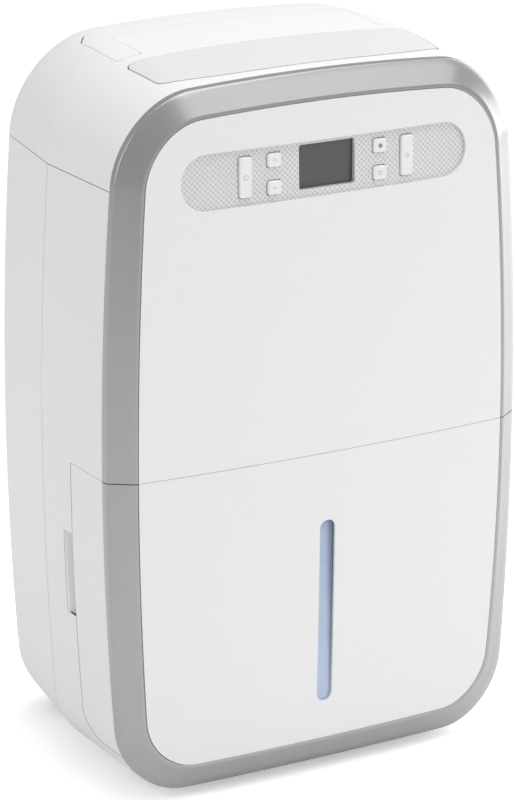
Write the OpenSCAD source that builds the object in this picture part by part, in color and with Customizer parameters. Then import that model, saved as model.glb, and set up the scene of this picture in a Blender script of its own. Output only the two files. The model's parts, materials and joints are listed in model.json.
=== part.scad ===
// Portable compressor dehumidifier with a pull-out water tank.
// X is across, -Y is the front, +Z is up. The origin is on the floor, under the middle of the body.

/* [Body] */
// Overall width of the casing at its widest
body_w = 390; // [330:1:468]
// Overall depth, from the front panel to the rear face
body_d = 282; // [240:1:338]
// Overall height above the floor
body_h = 616; // [520:1:740]
// Height of the casing's underside above the floor
floor_gap = 8; // [6:0.5:10]
// Wall thickness of the moulded shells
wall = 2.5; // [2:0.1:3.2]

/* [Casing shape] */
// How far each side draws in at the top and bottom, against the middle
side_swell = 15.5; // [0:0.5:20]
// How far the top falls from its middle to its sides
crown = 10; // [0:0.5:14]
// How far the top falls from its highest point to its front edge
top_fall = 14.3; // [4:0.1:18]
// Radius of the top corners in the front view
top_corner = 68; // [50:1:75]
// Radius of the bottom corners in the front view
bottom_corner = 60; // [45:1:66]
// Radius of the upright rear corners in the plan view
rear_corner = 51; // [30:1:56]
// Radius of the rear edge of the top
rear_top_round = 85; // [60:1:90]
// Slope of the rear cover's sides towards the back
rear_draft = 0.17; // [0.05:0.01:0.2]
// Depth of the tank's side cheeks behind the casing's front edge
cheek_depth = 57.9; // [50:0.1:64]
// Depth of the front casing's sides behind its front edge
casing_depth = 108.4; // [96:0.1:120]
// Height of the top cover's sides
top_cover_h = 94; // [84:1:100]

/* [Top] */
// Distance from the casing's front edge to the flap's front corners
flap_inset = 14.4; // [12:0.1:18]
// How far the flap's front edge bows forward in the middle
flap_bow = 6.7; // [2:0.1:8]
// Depth of the outlet flap at its sides
flap_depth = 55.8; // [46:0.1:59]
// Distance from the casing's widest side to the flap's front corner
flap_side = 60.4; // [56:0.1:90]
// How much further in each rear corner of the flap lies
flap_taper = 6.8; // [2:0.1:12]
// Thickness of the flap
flap_t = 4.5; // [4:0.1:6]
// Distance from the casing's front edge to the handle's front ends
handle_front = 83.2; // [80:0.1:92]
// Distance from the casing's widest side to the handle
handle_side = 61; // [58:0.5:66]
// Width of each arm of the handle
arm_w = 22; // [20:0.5:26]
// Depth of the handle's bar
bar_depth = 25; // [22:0.1:30]
// Distance from the rear face to the handle's bar
bar_back = 91; // [86:0.5:96]
// Thickness of the handle
handle_t = 10; // [9:0.5:12]
// Radius of the handle's hinge pins
handle_pin_r = 2.5; // [2:0.1:2.6]

/* [Front] */
// How far the front panel stands ahead of the casing's front edge
front_depth = 24.8; // [20:0.1:28]
// How far the casing's front edge bows forward in the middle
rim_bow = 6.4; // [2:0.1:8]
// How far the front panel curves back at its sides
panel_bow_across = 8.2; // [4:0.1:10]
// How far the front panel curves back at its top and bottom
panel_bow_tall = 6.5; // [3:0.1:8]
// Width of the silver ring around the front panel
ring_w = 22; // [18:0.5:26]
// Radius of the panel's top corners
panel_top_corner = 50; // [40:1:56]
// Radius of the panel's bottom corners
panel_bottom_corner = 46; // [36:1:52]
// Height of the line where the tank front meets the upper front
tank_top = 284.6; // [250:0.2:300]
// Gap between neighbouring shells
seam_gap = 0.8; // [0.5:0.1:1.2]

/* [Controls] */
// Distance from the casing's widest side to the recessed control strip
strip_side = 62; // [58:0.5:80]
// Height of the control strip
strip_h = 46; // [42:1:52]
// Distance from the top of the body down to the strip's middle
strip_drop = 91.4; // [86:0.2:100]
// Width of the display window
display_w = 51.8; // [46:0.2:56]
// Height of the display window
display_h = 36.8; // [32:0.2:40]
// How far a button travels
button_travel = 1.2; // [0.8:0.1:1.6]

/* [Tank] */
// Width of the water level window
window_w = 14.6; // [12:0.2:20]
// Height of the window's lower end above the floor
window_low = 64; // [60:1:80]
// Height of the window's upper end above the floor
window_high = 226; // [190:1:230]
// Height of the bucket's rim above the floor
bucket_top = 240; // [236:1:242]
// Thickness of the bucket's wall
bucket_wall = 2; // [1.6:0.1:2.4]
// Room between the bucket's sides and the tank's cheeks
bucket_side_gap = 12; // [8:0.5:20]

/* [Castors] */
// Radius of a castor wheel
wheel_r = 14; // [13:0.5:14.5]
// Width of a castor wheel
wheel_w = 12; // [10:0.5:14]
// Distance from the casing's widest side to a castor's stem
castor_side = 83; // [76:0.5:90]
// Distance from the casing's front edge or rear face to a castor's stem
castor_end = 43.7; // [40:0.1:50]
// Radial clearance of a shaft that turns in its bore
running_gap = 0.06; // [0.03:0.01:0.1]

/* [Rear] */
// Distance from the casing's widest side to the intake grille
grille_side = 85; // [80:1:100]
// Distance between two slats of the grille
slat_pitch = 10; // [8:0.5:12]
// Distance from the casing's widest side to a housing screw
screw_side = 84; // [78:1:96]
// Height of the cord inlet above the casing's underside
inlet_rise = 82; // [74:1:90]
// Height of the drain plug above the casing's underside
plug_rise = 52; // [46:1:60]

/* [Machinery] */
// Radius of the compressor's can
comp_r = 51; // [44:1:56]
// Depth of each heat exchanger
coil_t = 24; // [18:0.5:26]
// Distance from the rear face to the evaporator
coil_back = 32; // [28:0.5:36]

/* [Fan] */
// Number of blades of the fan wheel
blade_count = 28; // [20:1:32]
// Number of fins of each heat exchanger
fin_count = 26; // [16:1:30]

/* [Hidden] */
$fn = 48;

half_w = body_w / 2;
front_y = -body_d / 2;
back_y = body_d / 2;
rim_y = front_y + front_depth;
inner_d = back_y - rim_y;
swell_z = 0.4675 * body_h;
panel_z = 0.536 * body_h;
peak_y = rim_y + 0.56 * inner_d;
seam_z = body_h - top_cover_h;
rear_low_round = 30;
white = "#eceeef";
silver = "#b9bcbf";
light_grey = "#d4d7d9";
dark_grey = "#3b3d40";
copper = "#b5713f";

comp_front_gap = 9;
comp_rear_gap = 12;
comp_y = back_y - comp_rear_gap - comp_r;
slit_y = rim_y + cheek_depth;
seam_y = rim_y + casing_depth;
bay_y = comp_y - comp_r - comp_front_gap;
deck_z = floor_gap + 34;
deck_t = 3;
tray_z = tank_top + 1.5;

// ---- The casing's surface ----

function arc_points(cx, cz, r, from, to, steps) =
    [for (i = [0 : steps]) let (a = from + (to - from) * i / steps) [cx + r * cos(a), cz + r * sin(a)]];
function between(a, b, steps) = [for (i = [1 : steps - 1]) a + (b - a) * i / steps];

// A rectangle with round corners in the front view, from its bottom right corner round
function rounded(hw, z0, z1, rb, rt) = concat(
    arc_points(hw - rb, z0 + rb, rb, -90, 0, 6),
    between([hw, z0 + rb], [hw, z1 - rt], 6),
    arc_points(hw - rt, z1 - rt, rt, 0, 90, 6),
    between([hw - rt, z1], [rt - hw, z1], 8),
    arc_points(rt - hw, z1 - rt, rt, 90, 180, 6),
    between([-hw, z1 - rt], [-hw, z0 + rb], 6),
    arc_points(rb - hw, z0 + rb, rb, 180, 270, 6));

function drawn_in(z) = side_swell * pow((z - swell_z) / (body_h / 2), 2);
function fallen(x) = crown * pow(x / half_w, 2);
// Swells the sides and crowns the top of a front view outline
function curved(points, hw, z0, z1) =
    [for (p = points) [p.x - p.x / hw * drawn_in(p.y), p.y - fallen(p.x) * (p.y - z0) / (z1 - z0)]];

// How far a rear edge of radius r has turned in at depth y, on a skin drawn in by inset
function rounding(y, r, inset = 0) =
    let (t = max(0, y - (back_y - r)), q = r - inset) q - sqrt(max(0, q * q - t * t));
function draft(y) = max(0, y - seam_y) * rear_draft;
function top_z(y, inset = 0) = body_h - inset - top_fall * pow((y - peak_y) / (rim_y - peak_y), 2)
    - rounding(y, rear_top_round, inset);
function rim_line(x) = rim_y - rim_bow * (1 - pow(x / half_w, 2));
function panel_line(x, z) = front_y + panel_bow_across * pow(x / half_w, 2)
    + panel_bow_tall * pow((z - panel_z) / (body_h / 2), 2);

// One ring of the casing at a depth y, drawn in by inset
function body_ring(y, inset) = let (
    hw = half_w - draft(y) - rounding(y, rear_corner, inset) - inset,
    z0 = floor_gap + rounding(y, rear_low_round, inset) + inset,
    z1 = top_z(y, inset),
    bow = max(0, 1 - (y - rim_y) / (slit_y - rim_y)),
    less = inset + 0.9 * rounding(y, rear_corner, inset))
    [for (p = curved(rounded(hw, z0, z1, bottom_corner - less, top_corner - less), hw, z0, z1))
        [p.x, y + bow * (rim_line(p.x) - rim_y), p.y]];

// One ring of the front, drawn in by inset: at rim_share 1 it is on the rim, at 0 on the panel
function front_ring(inset, rim_share, back) = let (
    t = min(1, inset / ring_w),
    hw = half_w - inset,
    z0 = floor_gap + inset,
    z1 = top_z(rim_y) - inset,
    rt = max(4, top_corner + t * (panel_top_corner - top_corner) - max(0, inset - ring_w)),
    rb = max(4, bottom_corner + t * (panel_bottom_corner - bottom_corner) - max(0, inset - ring_w)))
    [for (p = curved(rounded(hw, z0, z1, rb, rt), hw, z0, z1))
        [p.x, rim_share * rim_line(p.x) + (1 - rim_share) * panel_line(p.x, p.y) + back, p.y]];

// Joins rings of equal length into a closed solid; a loop joins its last ring to its first
module loft(rings, loop = false) {
    n = len(rings[0]);
    count = len(rings);
    joins = loop ? count : count - 1;
    sides = [for (k = [0 : joins - 1], i = [0 : n - 1])
        let (a = k * n, b = ((k + 1) % count) * n, j = (i + 1) % n) [a + i, a + j, b + j, b + i]];
    caps = loop ? [] : [[for (i = [n - 1 : -1 : 0]) i], [for (i = [0 : n - 1]) (count - 1) * n + i]];
    polyhedron(points = [for (r = rings, p = r) p], faces = concat(sides, caps), convexity = 8);
}

// Depths at which the casing's surface is sampled
function station(share) = rim_y + share * inner_d;
body_stations = concat([rim_y, (rim_y + slit_y) / 2, slit_y, seam_y],
    [for (s = [0.56, 0.69, 0.79, 0.87, 0.93, 0.965, 0.988]) station(s)], [back_y]);
function stations_between(from, to) =
    concat([from], [for (y = body_stations) if (y > from + 1 && y < to - 1) y], [to]);

// Solid body between two depths, drawn in by inset
module body_solid(from, to, inset) {
    ys = stations_between(from, to);
    loft([for (i = [0 : len(ys) - 1]) body_ring(ys[i], inset)]);
}

// Open shell of the body between two depths
module body_band(from, to) {
    ys = stations_between(from, to);
    n = len(ys);
    loft(concat([for (i = [0 : n - 1]) body_ring(ys[i], 0)],
        [for (i = [n - 1 : -1 : 0]) body_ring(ys[i], wall)]), loop = true);
}

// Merges a moulded shell's cuts and ribs into one swept skin
module moulded() {
    resize([0, 0, 0]) children();
}

// ---- Small building blocks ----

module block(x0, x1, y0, y1, z0, z1) {
    translate([x0, y0, z0]) cube([x1 - x0, y1 - y0, z1 - z0]);
}
module rod_x(x0, x1, y, z, r) {
    translate([x0, y, z]) rotate([0, 90, 0]) cylinder(h = x1 - x0, r = r);
}
// The same rod at distances x0 to x1 from the middle, on side s
module stub_x(s, x0, x1, y, z, r) {
    rod_x(min(s * x0, s * x1), max(s * x0, s * x1), y, z, r);
}
module rod_y(x, y0, y1, z, r) {
    translate([x, y0, z]) rotate([-90, 0, 0]) cylinder(h = y1 - y0, r = r);
}
module rod_z(x, y, z0, z1, r) {
    translate([x, y, z0]) cylinder(h = z1 - z0, r = r);
}
// A flat rounded plate in the front view, from depth y0 to y1
module plate_y(x, z, w, h, r, y0, y1) {
    translate([x, y1, z]) rotate([90, 0, 0]) linear_extrude(y1 - y0) {
        square([w - 2 * r, h], center = true);
        square([w, h - 2 * r], center = true);
        for (sx = [-1, 1], sz = [-1, 1]) translate([sx * (w / 2 - r), sz * (h / 2 - r)]) circle(r);
    }
}
// A round tube along a list of points, with ball corners
module pipe(points, r) {
    moulded() {
        for (i = [0 : len(points) - 2]) {
            step = points[i + 1] - points[i];
            translate(points[i]) rotate([0, acos(step.z / norm(step)), atan2(step.y, step.x)])
                cylinder(h = norm(step), r = r, $fn = 16);
        }
        for (i = [1 : len(points) - 2]) translate(points[i]) sphere(r * 1.06, $fn = 16);
    }
}

// ---- Outer shells ----

cheek_low = floor_gap + 35;
cheek_round = 26;

// The side view of the tank's cheeks, as a bar across the whole body, grown by g
module cheek_bar(g) {
    y1 = slit_y + g;
    z0 = cheek_low - g;
    difference() {
        block(-half_w - 5, half_w + 5, rim_y - 60, y1, z0, tank_top + g);
        translate([0, y1 - cheek_round, z0 + cheek_round]) difference() {
            block(-half_w - 6, half_w + 6, 0, cheek_round + 1, -cheek_round - 1, 0);
            rod_x(-half_w - 7, half_w + 7, 0, 0, cheek_round);
        }
    }
}

grip_z = 186.5;
grip_h = 73;
grip_w = 16;
grip_in = 14;

// Finger recess in the casing, just behind the tank's cheek, on side s
module grip_space(s, g) {
    x_out = s * (half_w + 6);
    x_in = s * (half_w - grip_in - g);
    block(min(x_out, x_in), max(x_out, x_in), slit_y - 1 - (g > 0 ? g : 4), slit_y + grip_w + g,
        grip_z - grip_h / 2 - g, grip_z + grip_h / 2 + g);
}

castor_x = half_w - castor_side;
castor_ys = [rim_y + castor_end, back_y - castor_end];
well_r = 27;

module castor_holes() {
    for (s = [-1, 1], y = castor_ys) rod_z(s * castor_x, y, -1, deck_z - 6, well_r);
}

module front_casing() {
    color(white) moulded() difference() {
        union() {
            body_band(rim_y + seam_gap, seam_y - seam_gap / 2);
            for (s = [-1, 1]) intersection() {
                body_solid(slit_y - 8, seam_y - 8, 0.6);
                grip_space(s, wall);
            }
        }
        cheek_bar(seam_gap / 2);
        block(-half_w, half_w, rim_y - 20, slit_y + seam_gap / 2, tank_top - 1, tank_top + seam_gap / 2);
        block(-half_w - 1, half_w + 1, rim_y - 20, seam_y + 1, seam_z - seam_gap / 2, body_h + 5);
        for (s = [-1, 1]) grip_space(s, 0);
        castor_holes();
    }
}

grille_w = 2 * (half_w - grille_side);
grille_low = tank_top + 7;
grille_high = seam_z - 11;
grille_z = (grille_low + grille_high) / 2;
grille_h = grille_high - grille_low;
post_r = 5;
screw_x = half_w - screw_side;
screw_zs = [deck_z + deck_t + post_r, tank_top - 13];
screw_r = 2;
screw_head_r = 4;
post_end = back_y - 9.2;
inlet_x = -70;
inlet_z = floor_gap + inlet_rise;
plug_x = 58;
plug_z = floor_gap + plug_rise;

module rear_cover() {
    color(white) moulded() difference() {
        outer = stations_between(seam_y + seam_gap / 2, back_y);
        inner = stations_between(seam_y + seam_gap / 2, back_y - wall);
        union() {
            loft(concat([for (i = [len(inner) - 1 : -1 : 0]) body_ring(inner[i], wall)],
                [for (y = outer) body_ring(y, 0)]));
            for (s = [-1, 1], z = screw_zs) rod_y(s * screw_x, back_y - 9, back_y - 1, z, 7);
        }
        block(-half_w, half_w, seam_y - 1, back_y + 1, seam_z - seam_gap / 2, body_h + 5);
        block(-grille_w / 2, grille_w / 2, back_y - 20, back_y + 1, grille_low, grille_high);
        for (s = [-1, 1], z = screw_zs) {
            rod_y(s * screw_x, back_y - 20, back_y + 1, z, screw_r + 0.2);
            rod_y(s * screw_x, back_y - 4, back_y + 1, z, screw_head_r + 0.6);
        }
        rod_y(inlet_x, back_y - 20, back_y + 1, inlet_z, 9);
        rod_y(plug_x, back_y - 20, back_y + 1, plug_z, 8);
        castor_holes();
    }
}

// ---- Top ----

flap_front_y = rim_y + flap_inset;
flap_rear_y = flap_front_y + flap_depth;
flap_front_w = half_w - flap_side;
flap_rear_w = flap_front_w - flap_taper;
flap_gap = 1.3;
flap_rear_gap = 1.8;
flap_lug_x = 58;
flap_lug_t = 3;
flap_pin_r = 1.2;
flap_pin_reach = 5;
flap_axis_y = flap_rear_y - 2.2;
flap_axis_z = top_z(flap_rear_y) - fallen(flap_lug_x) - 2.6;

handle_outer = half_w - handle_side;
handle_inner = handle_outer - arm_w;
handle_front_y = rim_y + handle_front;
handle_axis_y = handle_front_y + 8;
handle_axis_z = top_z(handle_axis_y) - fallen(handle_inner) - 6;
handle_bar_rear = back_y - bar_back;
handle_bar_front = handle_bar_rear - bar_depth;
handle_pin_x = [handle_inner - 3.4, handle_inner + 11];
handle_gap = 1;
handle_swing_gap = 3;
pocket_floor = handle_axis_z - 27;

// Plan outline of the flap, grown by g and at the rear by rear_g
module flap_plan(g, rear_g) {
    polygon(concat(
        [for (t = [-1 : 0.2 : 1]) [t * (flap_front_w + g), flap_front_y - g - flap_bow * (1 - t * t)]],
        [[flap_rear_w + g, flap_rear_y + rear_g], [-flap_rear_w - g, flap_rear_y + rear_g]]));
}

// Plan outline of the U-shaped handle, grown by g and at the front by front_g
module handle_plan(g, front_g) {
    corner = 12;
    for (s = [-1, 1]) polygon([[s * (handle_inner - g), handle_front_y - front_g],
        [s * (handle_outer + g), handle_front_y - front_g],
        [s * (handle_outer + g), handle_bar_rear - corner + g],
        [s * (handle_outer - corner), handle_bar_rear + g],
        [s * (handle_inner - g), handle_bar_rear + g]]);
    translate([-handle_inner, handle_bar_front - g])
        square([2 * handle_inner, bar_depth + 2 * g]);
}

module top_cover() {
    color(white) difference() {
        moulded() difference() {
            body_solid(rim_y + seam_gap, back_y, 0);
            difference() {
                body_solid(rim_y - 1, back_y - wall, wall);
                translate([0, 0, pocket_floor - wall]) linear_extrude(90)
                    handle_plan(handle_gap + wall, handle_swing_gap + wall);
            }
            block(-half_w - 1, half_w + 1, rim_y - 20, back_y + 1, 0, seam_z + seam_gap / 2);
            translate([0, 0, pocket_floor]) linear_extrude(90) handle_plan(handle_gap, handle_swing_gap);
            translate([0, 0, seam_z]) linear_extrude(120) flap_plan(flap_gap, flap_rear_gap);
        }
        for (s = [-1, 1]) stub_x(s, handle_pin_x[0], handle_inner, handle_axis_y, handle_axis_z, handle_pin_r);
    }
}

module outlet_flap() {
    color(white) difference() {
        moulded() intersection() {
            difference() {
                body_solid(rim_y + 2, seam_y, 0);
                body_solid(rim_y + 1, seam_y + 1, flap_t);
            }
            translate([0, 0, seam_z + 30]) linear_extrude(100) flap_plan(0, 0);
        }
        for (s = [-1, 1]) stub_x(s, flap_lug_x - flap_pin_reach - 1, flap_lug_x + flap_pin_reach + 1,
            flap_axis_y, flap_axis_z, flap_pin_r + running_gap);
        for (s = [-1, 1]) block(s * flap_lug_x - flap_lug_t / 2 - 0.5, s * flap_lug_x + flap_lug_t / 2 + 0.5,
            flap_rear_y - 7, flap_rear_y + 1, body_h - 40, body_h);
    }
}

module flap_pin() {
    color(dark_grey) for (s = [-1, 1]) stub_x(s, flap_lug_x - flap_pin_reach, flap_lug_x + flap_pin_reach,
        flap_axis_y, flap_axis_z, flap_pin_r);
}

duct_w = flap_rear_w - 20;
duct_low = seam_z + 6;
duct_high = body_h - 22;
volute_front = rim_y + 10.3;
volute_rear = flap_rear_y - 2.3;
fan_z = (tank_top + seam_z) / 2;
volute_r = (seam_z - tank_top) / 2 - 17;
mouth_in = 6;

module outlet_duct() {
    color(dark_grey) {
        difference() {
            block(-duct_w, duct_w, volute_front, volute_rear, duct_low, duct_high);
            block(-duct_w + 2, duct_w - 2, volute_front + 2, volute_rear - 2, duct_low + 2, duct_high + 1);
            block(mouth_in, volute_r - 2, volute_front + 2, volute_rear - 2, duct_low - 1, duct_low + 3);
        }
        for (x = [-2 : 2]) block(x * duct_w / 3 - 1, x * duct_w / 3 + 1, volute_front + 1, volute_rear - 1,
            duct_high - 20, duct_high - 8);
        for (s = [-1, 1]) difference() {
            block(s * flap_lug_x - flap_lug_t / 2, s * flap_lug_x + flap_lug_t / 2, flap_axis_y - 2.2,
                volute_rear, duct_high - 4, flap_axis_z + 1.6);
            rod_x(s * flap_lug_x - 5, s * flap_lug_x + 5, flap_axis_y, flap_axis_z, flap_pin_r);
        }
    }
}

module carry_handle() {
    color(white) difference() {
        moulded() intersection() {
            difference() {
                body_solid(rim_y + 20, back_y - 12, 0);
                body_solid(rim_y + 19, back_y - 11, handle_t);
            }
            translate([0, 0, pocket_floor]) linear_extrude(80) handle_plan(0, 0);
        }
        for (s = [-1, 1]) stub_x(s, handle_inner - 5, handle_pin_x[1] + 0.5,
            handle_axis_y, handle_axis_z, handle_pin_r + running_gap);
    }
}

module handle_pins() {
    color(light_grey) for (s = [-1, 1])
        stub_x(s, handle_pin_x[0], handle_pin_x[1], handle_axis_y, handle_axis_z, handle_pin_r);
}

// ---- Front ----

// The doubly curved front skin, drawn in by inset, from back0 to back1 behind the panel's surface
module front_skin(inset, back0, back1) {
    xs = [for (i = [-7 : 7]) i * half_w / 7];
    moulded() intersection() {
        loft([for (k = [0 : 12]) let (z = k * (body_h + 10) / 12) concat(
            [for (i = [14 : -1 : 0]) [xs[i], panel_line(xs[i], z) + back0, z]],
            [for (x = xs) [x, panel_line(x, z) + back1, z]])]);
        translate([0, rim_y + 30, 0]) rotate([90, 0, 0]) linear_extrude(120)
            polygon([for (p = front_ring(inset, 0, 0)) [p.x, p.z]]);
    }
}

// The silver ring all round: a chamfer at the rim, then a rounded step up to the panel
module front_ring_solid() {
    loft([front_ring(ring_w, 0, 0.5), front_ring(0.62 * ring_w, 0.22, 0), front_ring(0.34 * ring_w, 0.52, 0),
        front_ring(0.13 * ring_w, 0.84, 0), front_ring(0, 1, 0), front_ring(wall, 1, 0.4),
        front_ring(0.4 * ring_w, 0.75, 3), front_ring(ring_w, 0, 6)], loop = true);
}

module above_split() {
    intersection() {
        children();
        block(-half_w - 5, half_w + 5, front_y - 20, rim_y + 30, tank_top + seam_gap / 2, body_h + 5);
    }
}
module below_split() {
    intersection() {
        children();
        block(-half_w - 5, half_w + 5, front_y - 20, rim_y + 30, 0, tank_top - seam_gap / 2);
    }
}

strip_z = body_h - strip_drop;
display_z = strip_z + 1.7;
tall_x = 75.2;
tall_w = 11.4;
tall_h = 33.4;
small_x = 49.2;
small_w = 12.2;
small_h = 11.4;
small_rise = 11.2;
button_gap = 0.45;

module strip_outline(g, y0, y1) {
    plate_y(0, strip_z, 2 * (half_w - strip_side + g), strip_h + 2 * g, strip_h / 2 + g - 0.01, y0, y1);
}
module tall_button(s, g) {
    y = panel_line(tall_x, strip_z);
    plate_y(s * tall_x, strip_z, tall_w + 2 * g, tall_h + 2 * g, 2.4 + g, y + 0.2 - 8 * g, y + 9 + 8 * g);
}
module small_button(s, up, g) {
    y = panel_line(small_x, strip_z);
    plate_y(s * small_x, strip_z + up * small_rise, small_w + 2 * g, small_h + 2 * g, 2 + g,
        y + 0.2 - 8 * g, y + 9 + 8 * g);
}

module front_frame() {
    color(silver) above_split() front_ring_solid();
}

module front_panel() {
    color(white) above_split() difference() {
        front_skin(ring_w + 0.5, 0, wall);
        strip_outline(0, front_y - 5, rim_y + 10);
    }
}

module control_plate() {
    color(light_grey) difference() {
        moulded() intersection() {
            front_skin(ring_w + 2, wall + 0.1, wall + 2.1);
            strip_outline(3, front_y - 5, rim_y + 10);
        }
        plate_y(0, display_z, display_w, display_h, 1.5, front_y - 5, rim_y + 10);
        for (s = [-1, 1]) {
            tall_button(s, button_gap);
            for (up = [-1, 1]) small_button(s, up, button_gap);
        }
    }
}

module display_lens() {
    y = panel_line(display_w / 2, display_z + display_h / 2) + wall + 2.6;
    color(dark_grey) plate_y(0, display_z, display_w + 3, display_h + 3, 1.5, y, y + 2);
}

module power_button() { color(white) tall_button(1, 0); }
module timer_button() { color(white) tall_button(-1, 0); }
module fan_button() { color(white) small_button(1, 1, 0); }
module mode_button() { color(white) small_button(1, -1, 0); }
module up_button() { color(white) small_button(-1, 1, 0); }
module down_button() { color(white) small_button(-1, -1, 0); }

module display_board() {
    board_y = front_y + 19;
    color("#2f6b45") {
        plate_y(0, strip_z, 2 * tall_x + 26, strip_h - 2, 2, board_y, board_y + 1.6);
        for (s = [-1, 1]) {
            block(s * tall_x - 3, s * tall_x + 3, panel_line(tall_x, strip_z) + 9.5 + button_travel, board_y,
                strip_z - 3, strip_z + 3);
            for (up = [-1, 1]) block(s * small_x - 3, s * small_x + 3,
                panel_line(small_x, strip_z) + 9.5 + button_travel, board_y,
                strip_z + up * small_rise - 3, strip_z + up * small_rise + 3);
        }
        block(-display_w / 2, display_w / 2, board_y - 7, board_y, display_z - display_h / 2, display_z + 18);
    }
}

// ---- Water tank ----

bucket_low = deck_z + deck_t + 0.5;
bucket_w = half_w - side_swell - wall - bucket_side_gap;
bucket_front = rim_y + 8;
bucket_rear = bay_y - 6;
bucket_corner = 22;
web_y = rim_y + 2;
window_z = (window_low + window_high) / 2;
window_h = window_high - window_low;

module window_outline(g, y0, y1) {
    plate_y(0, window_z, window_w + 2 * g, window_h + 2 * g, window_w / 2 + g - 0.01, y0, y1);
}

module tank_shell() {
    color(white) moulded() difference() {
        intersection() {
            union() {
                body_band(rim_y + seam_gap, slit_y + 1);
                body_solid(web_y, web_y + 2.5, wall / 2);
            }
            cheek_bar(-seam_gap / 2);
        }
        block(-half_w, half_w, rim_y - 20, slit_y + 2, tank_top - seam_gap / 2, tank_top + 2);
        window_outline(12, rim_y - 20, slit_y);
    }
}

module tank_frame() {
    color(silver) below_split() front_ring_solid();
}

module tank_front() {
    color(white) below_split() difference() {
        front_skin(ring_w + 0.5, 0, wall);
        window_outline(0, front_y - 5, rim_y + 10);
    }
}

window_flange = 2.5;
window_face = panel_line(0, window_low - window_flange) + wall + 0.2;

module tank_window() {
    color("#b9c9e2", 0.7) difference() {
        union() {
            window_outline(window_flange, window_face, window_face + 2);
            window_outline(window_flange / 2, window_face + 1, web_y + 2.7);
        }
        window_outline(0, window_face + 2, web_y + 4);
    }
}

// A box with round upright corners
module round_box(w, y0, y1, z0, z1, r) {
    translate([0, (y0 + y1) / 2, z0]) linear_extrude(z1 - z0) {
        square([w - 2 * r, y1 - y0], center = true);
        square([w, y1 - y0 - 2 * r], center = true);
        for (sx = [-1, 1], sy = [-1, 1])
            translate([sx * (w / 2 - r), sy * ((y1 - y0) / 2 - r)]) circle(r);
    }
}

float_x = bucket_w - 44;
float_axis_y = bucket_rear - 12;
float_axis_z = bucket_top - 13;
float_pin_r = 2;
drip_x = 80;
drip_y = bay_y - 18.5;

module tank_bucket() {
    color("#dfe4ea", 0.6) {
        difference() {
            union() {
                round_box(2 * bucket_w, bucket_front, bucket_rear, bucket_low, bucket_top, bucket_corner);
                block(-20, 20, web_y + 3, bucket_front + 5, window_low - 8, window_high + 4);
            }
            round_box(2 * bucket_w - 2 * bucket_wall, bucket_front + bucket_wall, bucket_rear - bucket_wall,
                bucket_low + bucket_wall, bucket_top + 1, bucket_corner - bucket_wall);
            block(-18, 18, web_y + 5, bucket_front + 6, window_low - 6, window_high + 2);
        }
        for (x = [float_x - 12, float_x + 9]) block(x, x + 3, float_axis_y - 4, bucket_rear - 1,
            float_axis_z - 5, float_axis_z + 6);
        rod_x(float_x - 12, float_x + 12, float_axis_y, float_axis_z, float_pin_r);
    }
}

lift_axis_y = bucket_rear - 51;
lift_axis_z = bucket_top + 8.5;
lift_reach = 29;
lift_half = 76;
lift_pin_r = 2.5;

module tank_lid() {
    color(light_grey) {
        difference() {
            round_box(2 * bucket_w - 2, bucket_front + 1, bucket_rear - 1, bucket_top, bucket_top + 2.5,
                bucket_corner - 1);
            rod_z(drip_x, drip_y, bucket_top - 1, bucket_top + 5, 14);
        }
        for (s = [-1, 1]) {
            block(s * (lift_half + 3) - 2, s * (lift_half + 3) + 2, lift_axis_y - 5, lift_axis_y + 5,
                bucket_top + 2, lift_axis_z + 4.5);
            rod_x(s * (lift_half - 2.5) - 4.5, s * (lift_half - 2.5) + 4.5, lift_axis_y, lift_axis_z,
                lift_pin_r);
        }
    }
}

module tank_handle() {
    color(white) {
        for (s = [-1, 1]) difference() {
            union() {
                block(s * (lift_half - 3) - 3, s * (lift_half - 3) + 3, lift_axis_y, lift_axis_y + lift_reach,
                    lift_axis_z - 4.5, lift_axis_z + 4.5);
                rod_x(s * (lift_half - 3) - 3, s * (lift_half - 3) + 3, lift_axis_y, lift_axis_z, 4.5);
            }
            rod_x(s * (lift_half - 3) - 5, s * (lift_half - 3) + 5, lift_axis_y, lift_axis_z,
                lift_pin_r + running_gap);
        }
        rod_x(-lift_half, lift_half, lift_axis_y + lift_reach, lift_axis_z, 4.5);
    }
}

module tank_float() {
    reach = 40;
    color("white") difference() {
        union() {
            rod_x(float_x - 8, float_x + 8, float_axis_y, float_axis_z, 5);
            block(float_x - 5, float_x + 5, float_axis_y - reach, float_axis_y, float_axis_z - 4,
                float_axis_z - 1);
            block(float_x - 16, float_x + 16, float_axis_y - reach - 24, float_axis_y - reach + 4,
                float_axis_z - 22, float_axis_z - 1);
        }
        rod_x(float_x - 9, float_x + 9, float_axis_y, float_axis_z, float_pin_r + running_gap);
    }
}

// ---- Base and castors ----

stem_r = 4;
fork_top = 2 * wheel_r + 4.5;
trail = 10;
axle_r = 2.5;
deck_w = half_w - side_swell - wall - 27;
deck_front = rim_y + 13;
deck_rear = back_y - 14;
comp_x = -49;
foot_h = 10;

// Plan of a plate that fills the casing from side to side, its rear corners cut off
module plan_with_cut_corners(w, rear) {
    cut = 27;
    polygon([[-w, deck_front], [w, deck_front], [w, rear - cut], [0.8 * w, rear], [-0.8 * w, rear],
        [-w, rear - cut]]);
}

module base_deck() {
    color(light_grey) difference() {
        union() {
            translate([0, 0, deck_z]) linear_extrude(deck_t) plan_with_cut_corners(deck_w, deck_rear);
            for (s = [-1, 1], y = castor_ys) rod_z(s * castor_x, y, fork_top + 1, deck_z + 1, 9);
            for (s = [-1, 1], y = [deck_front + 18, deck_front + 80, deck_rear - 89, deck_rear - 27])
                rod_z(s * 43, y, floor_gap + wall, deck_z + 1, 7);
        }
        for (s = [-1, 1], y = castor_ys) rod_z(s * castor_x, y, 0, deck_z + deck_t + 1, stem_r + running_gap);
    }
}

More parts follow.
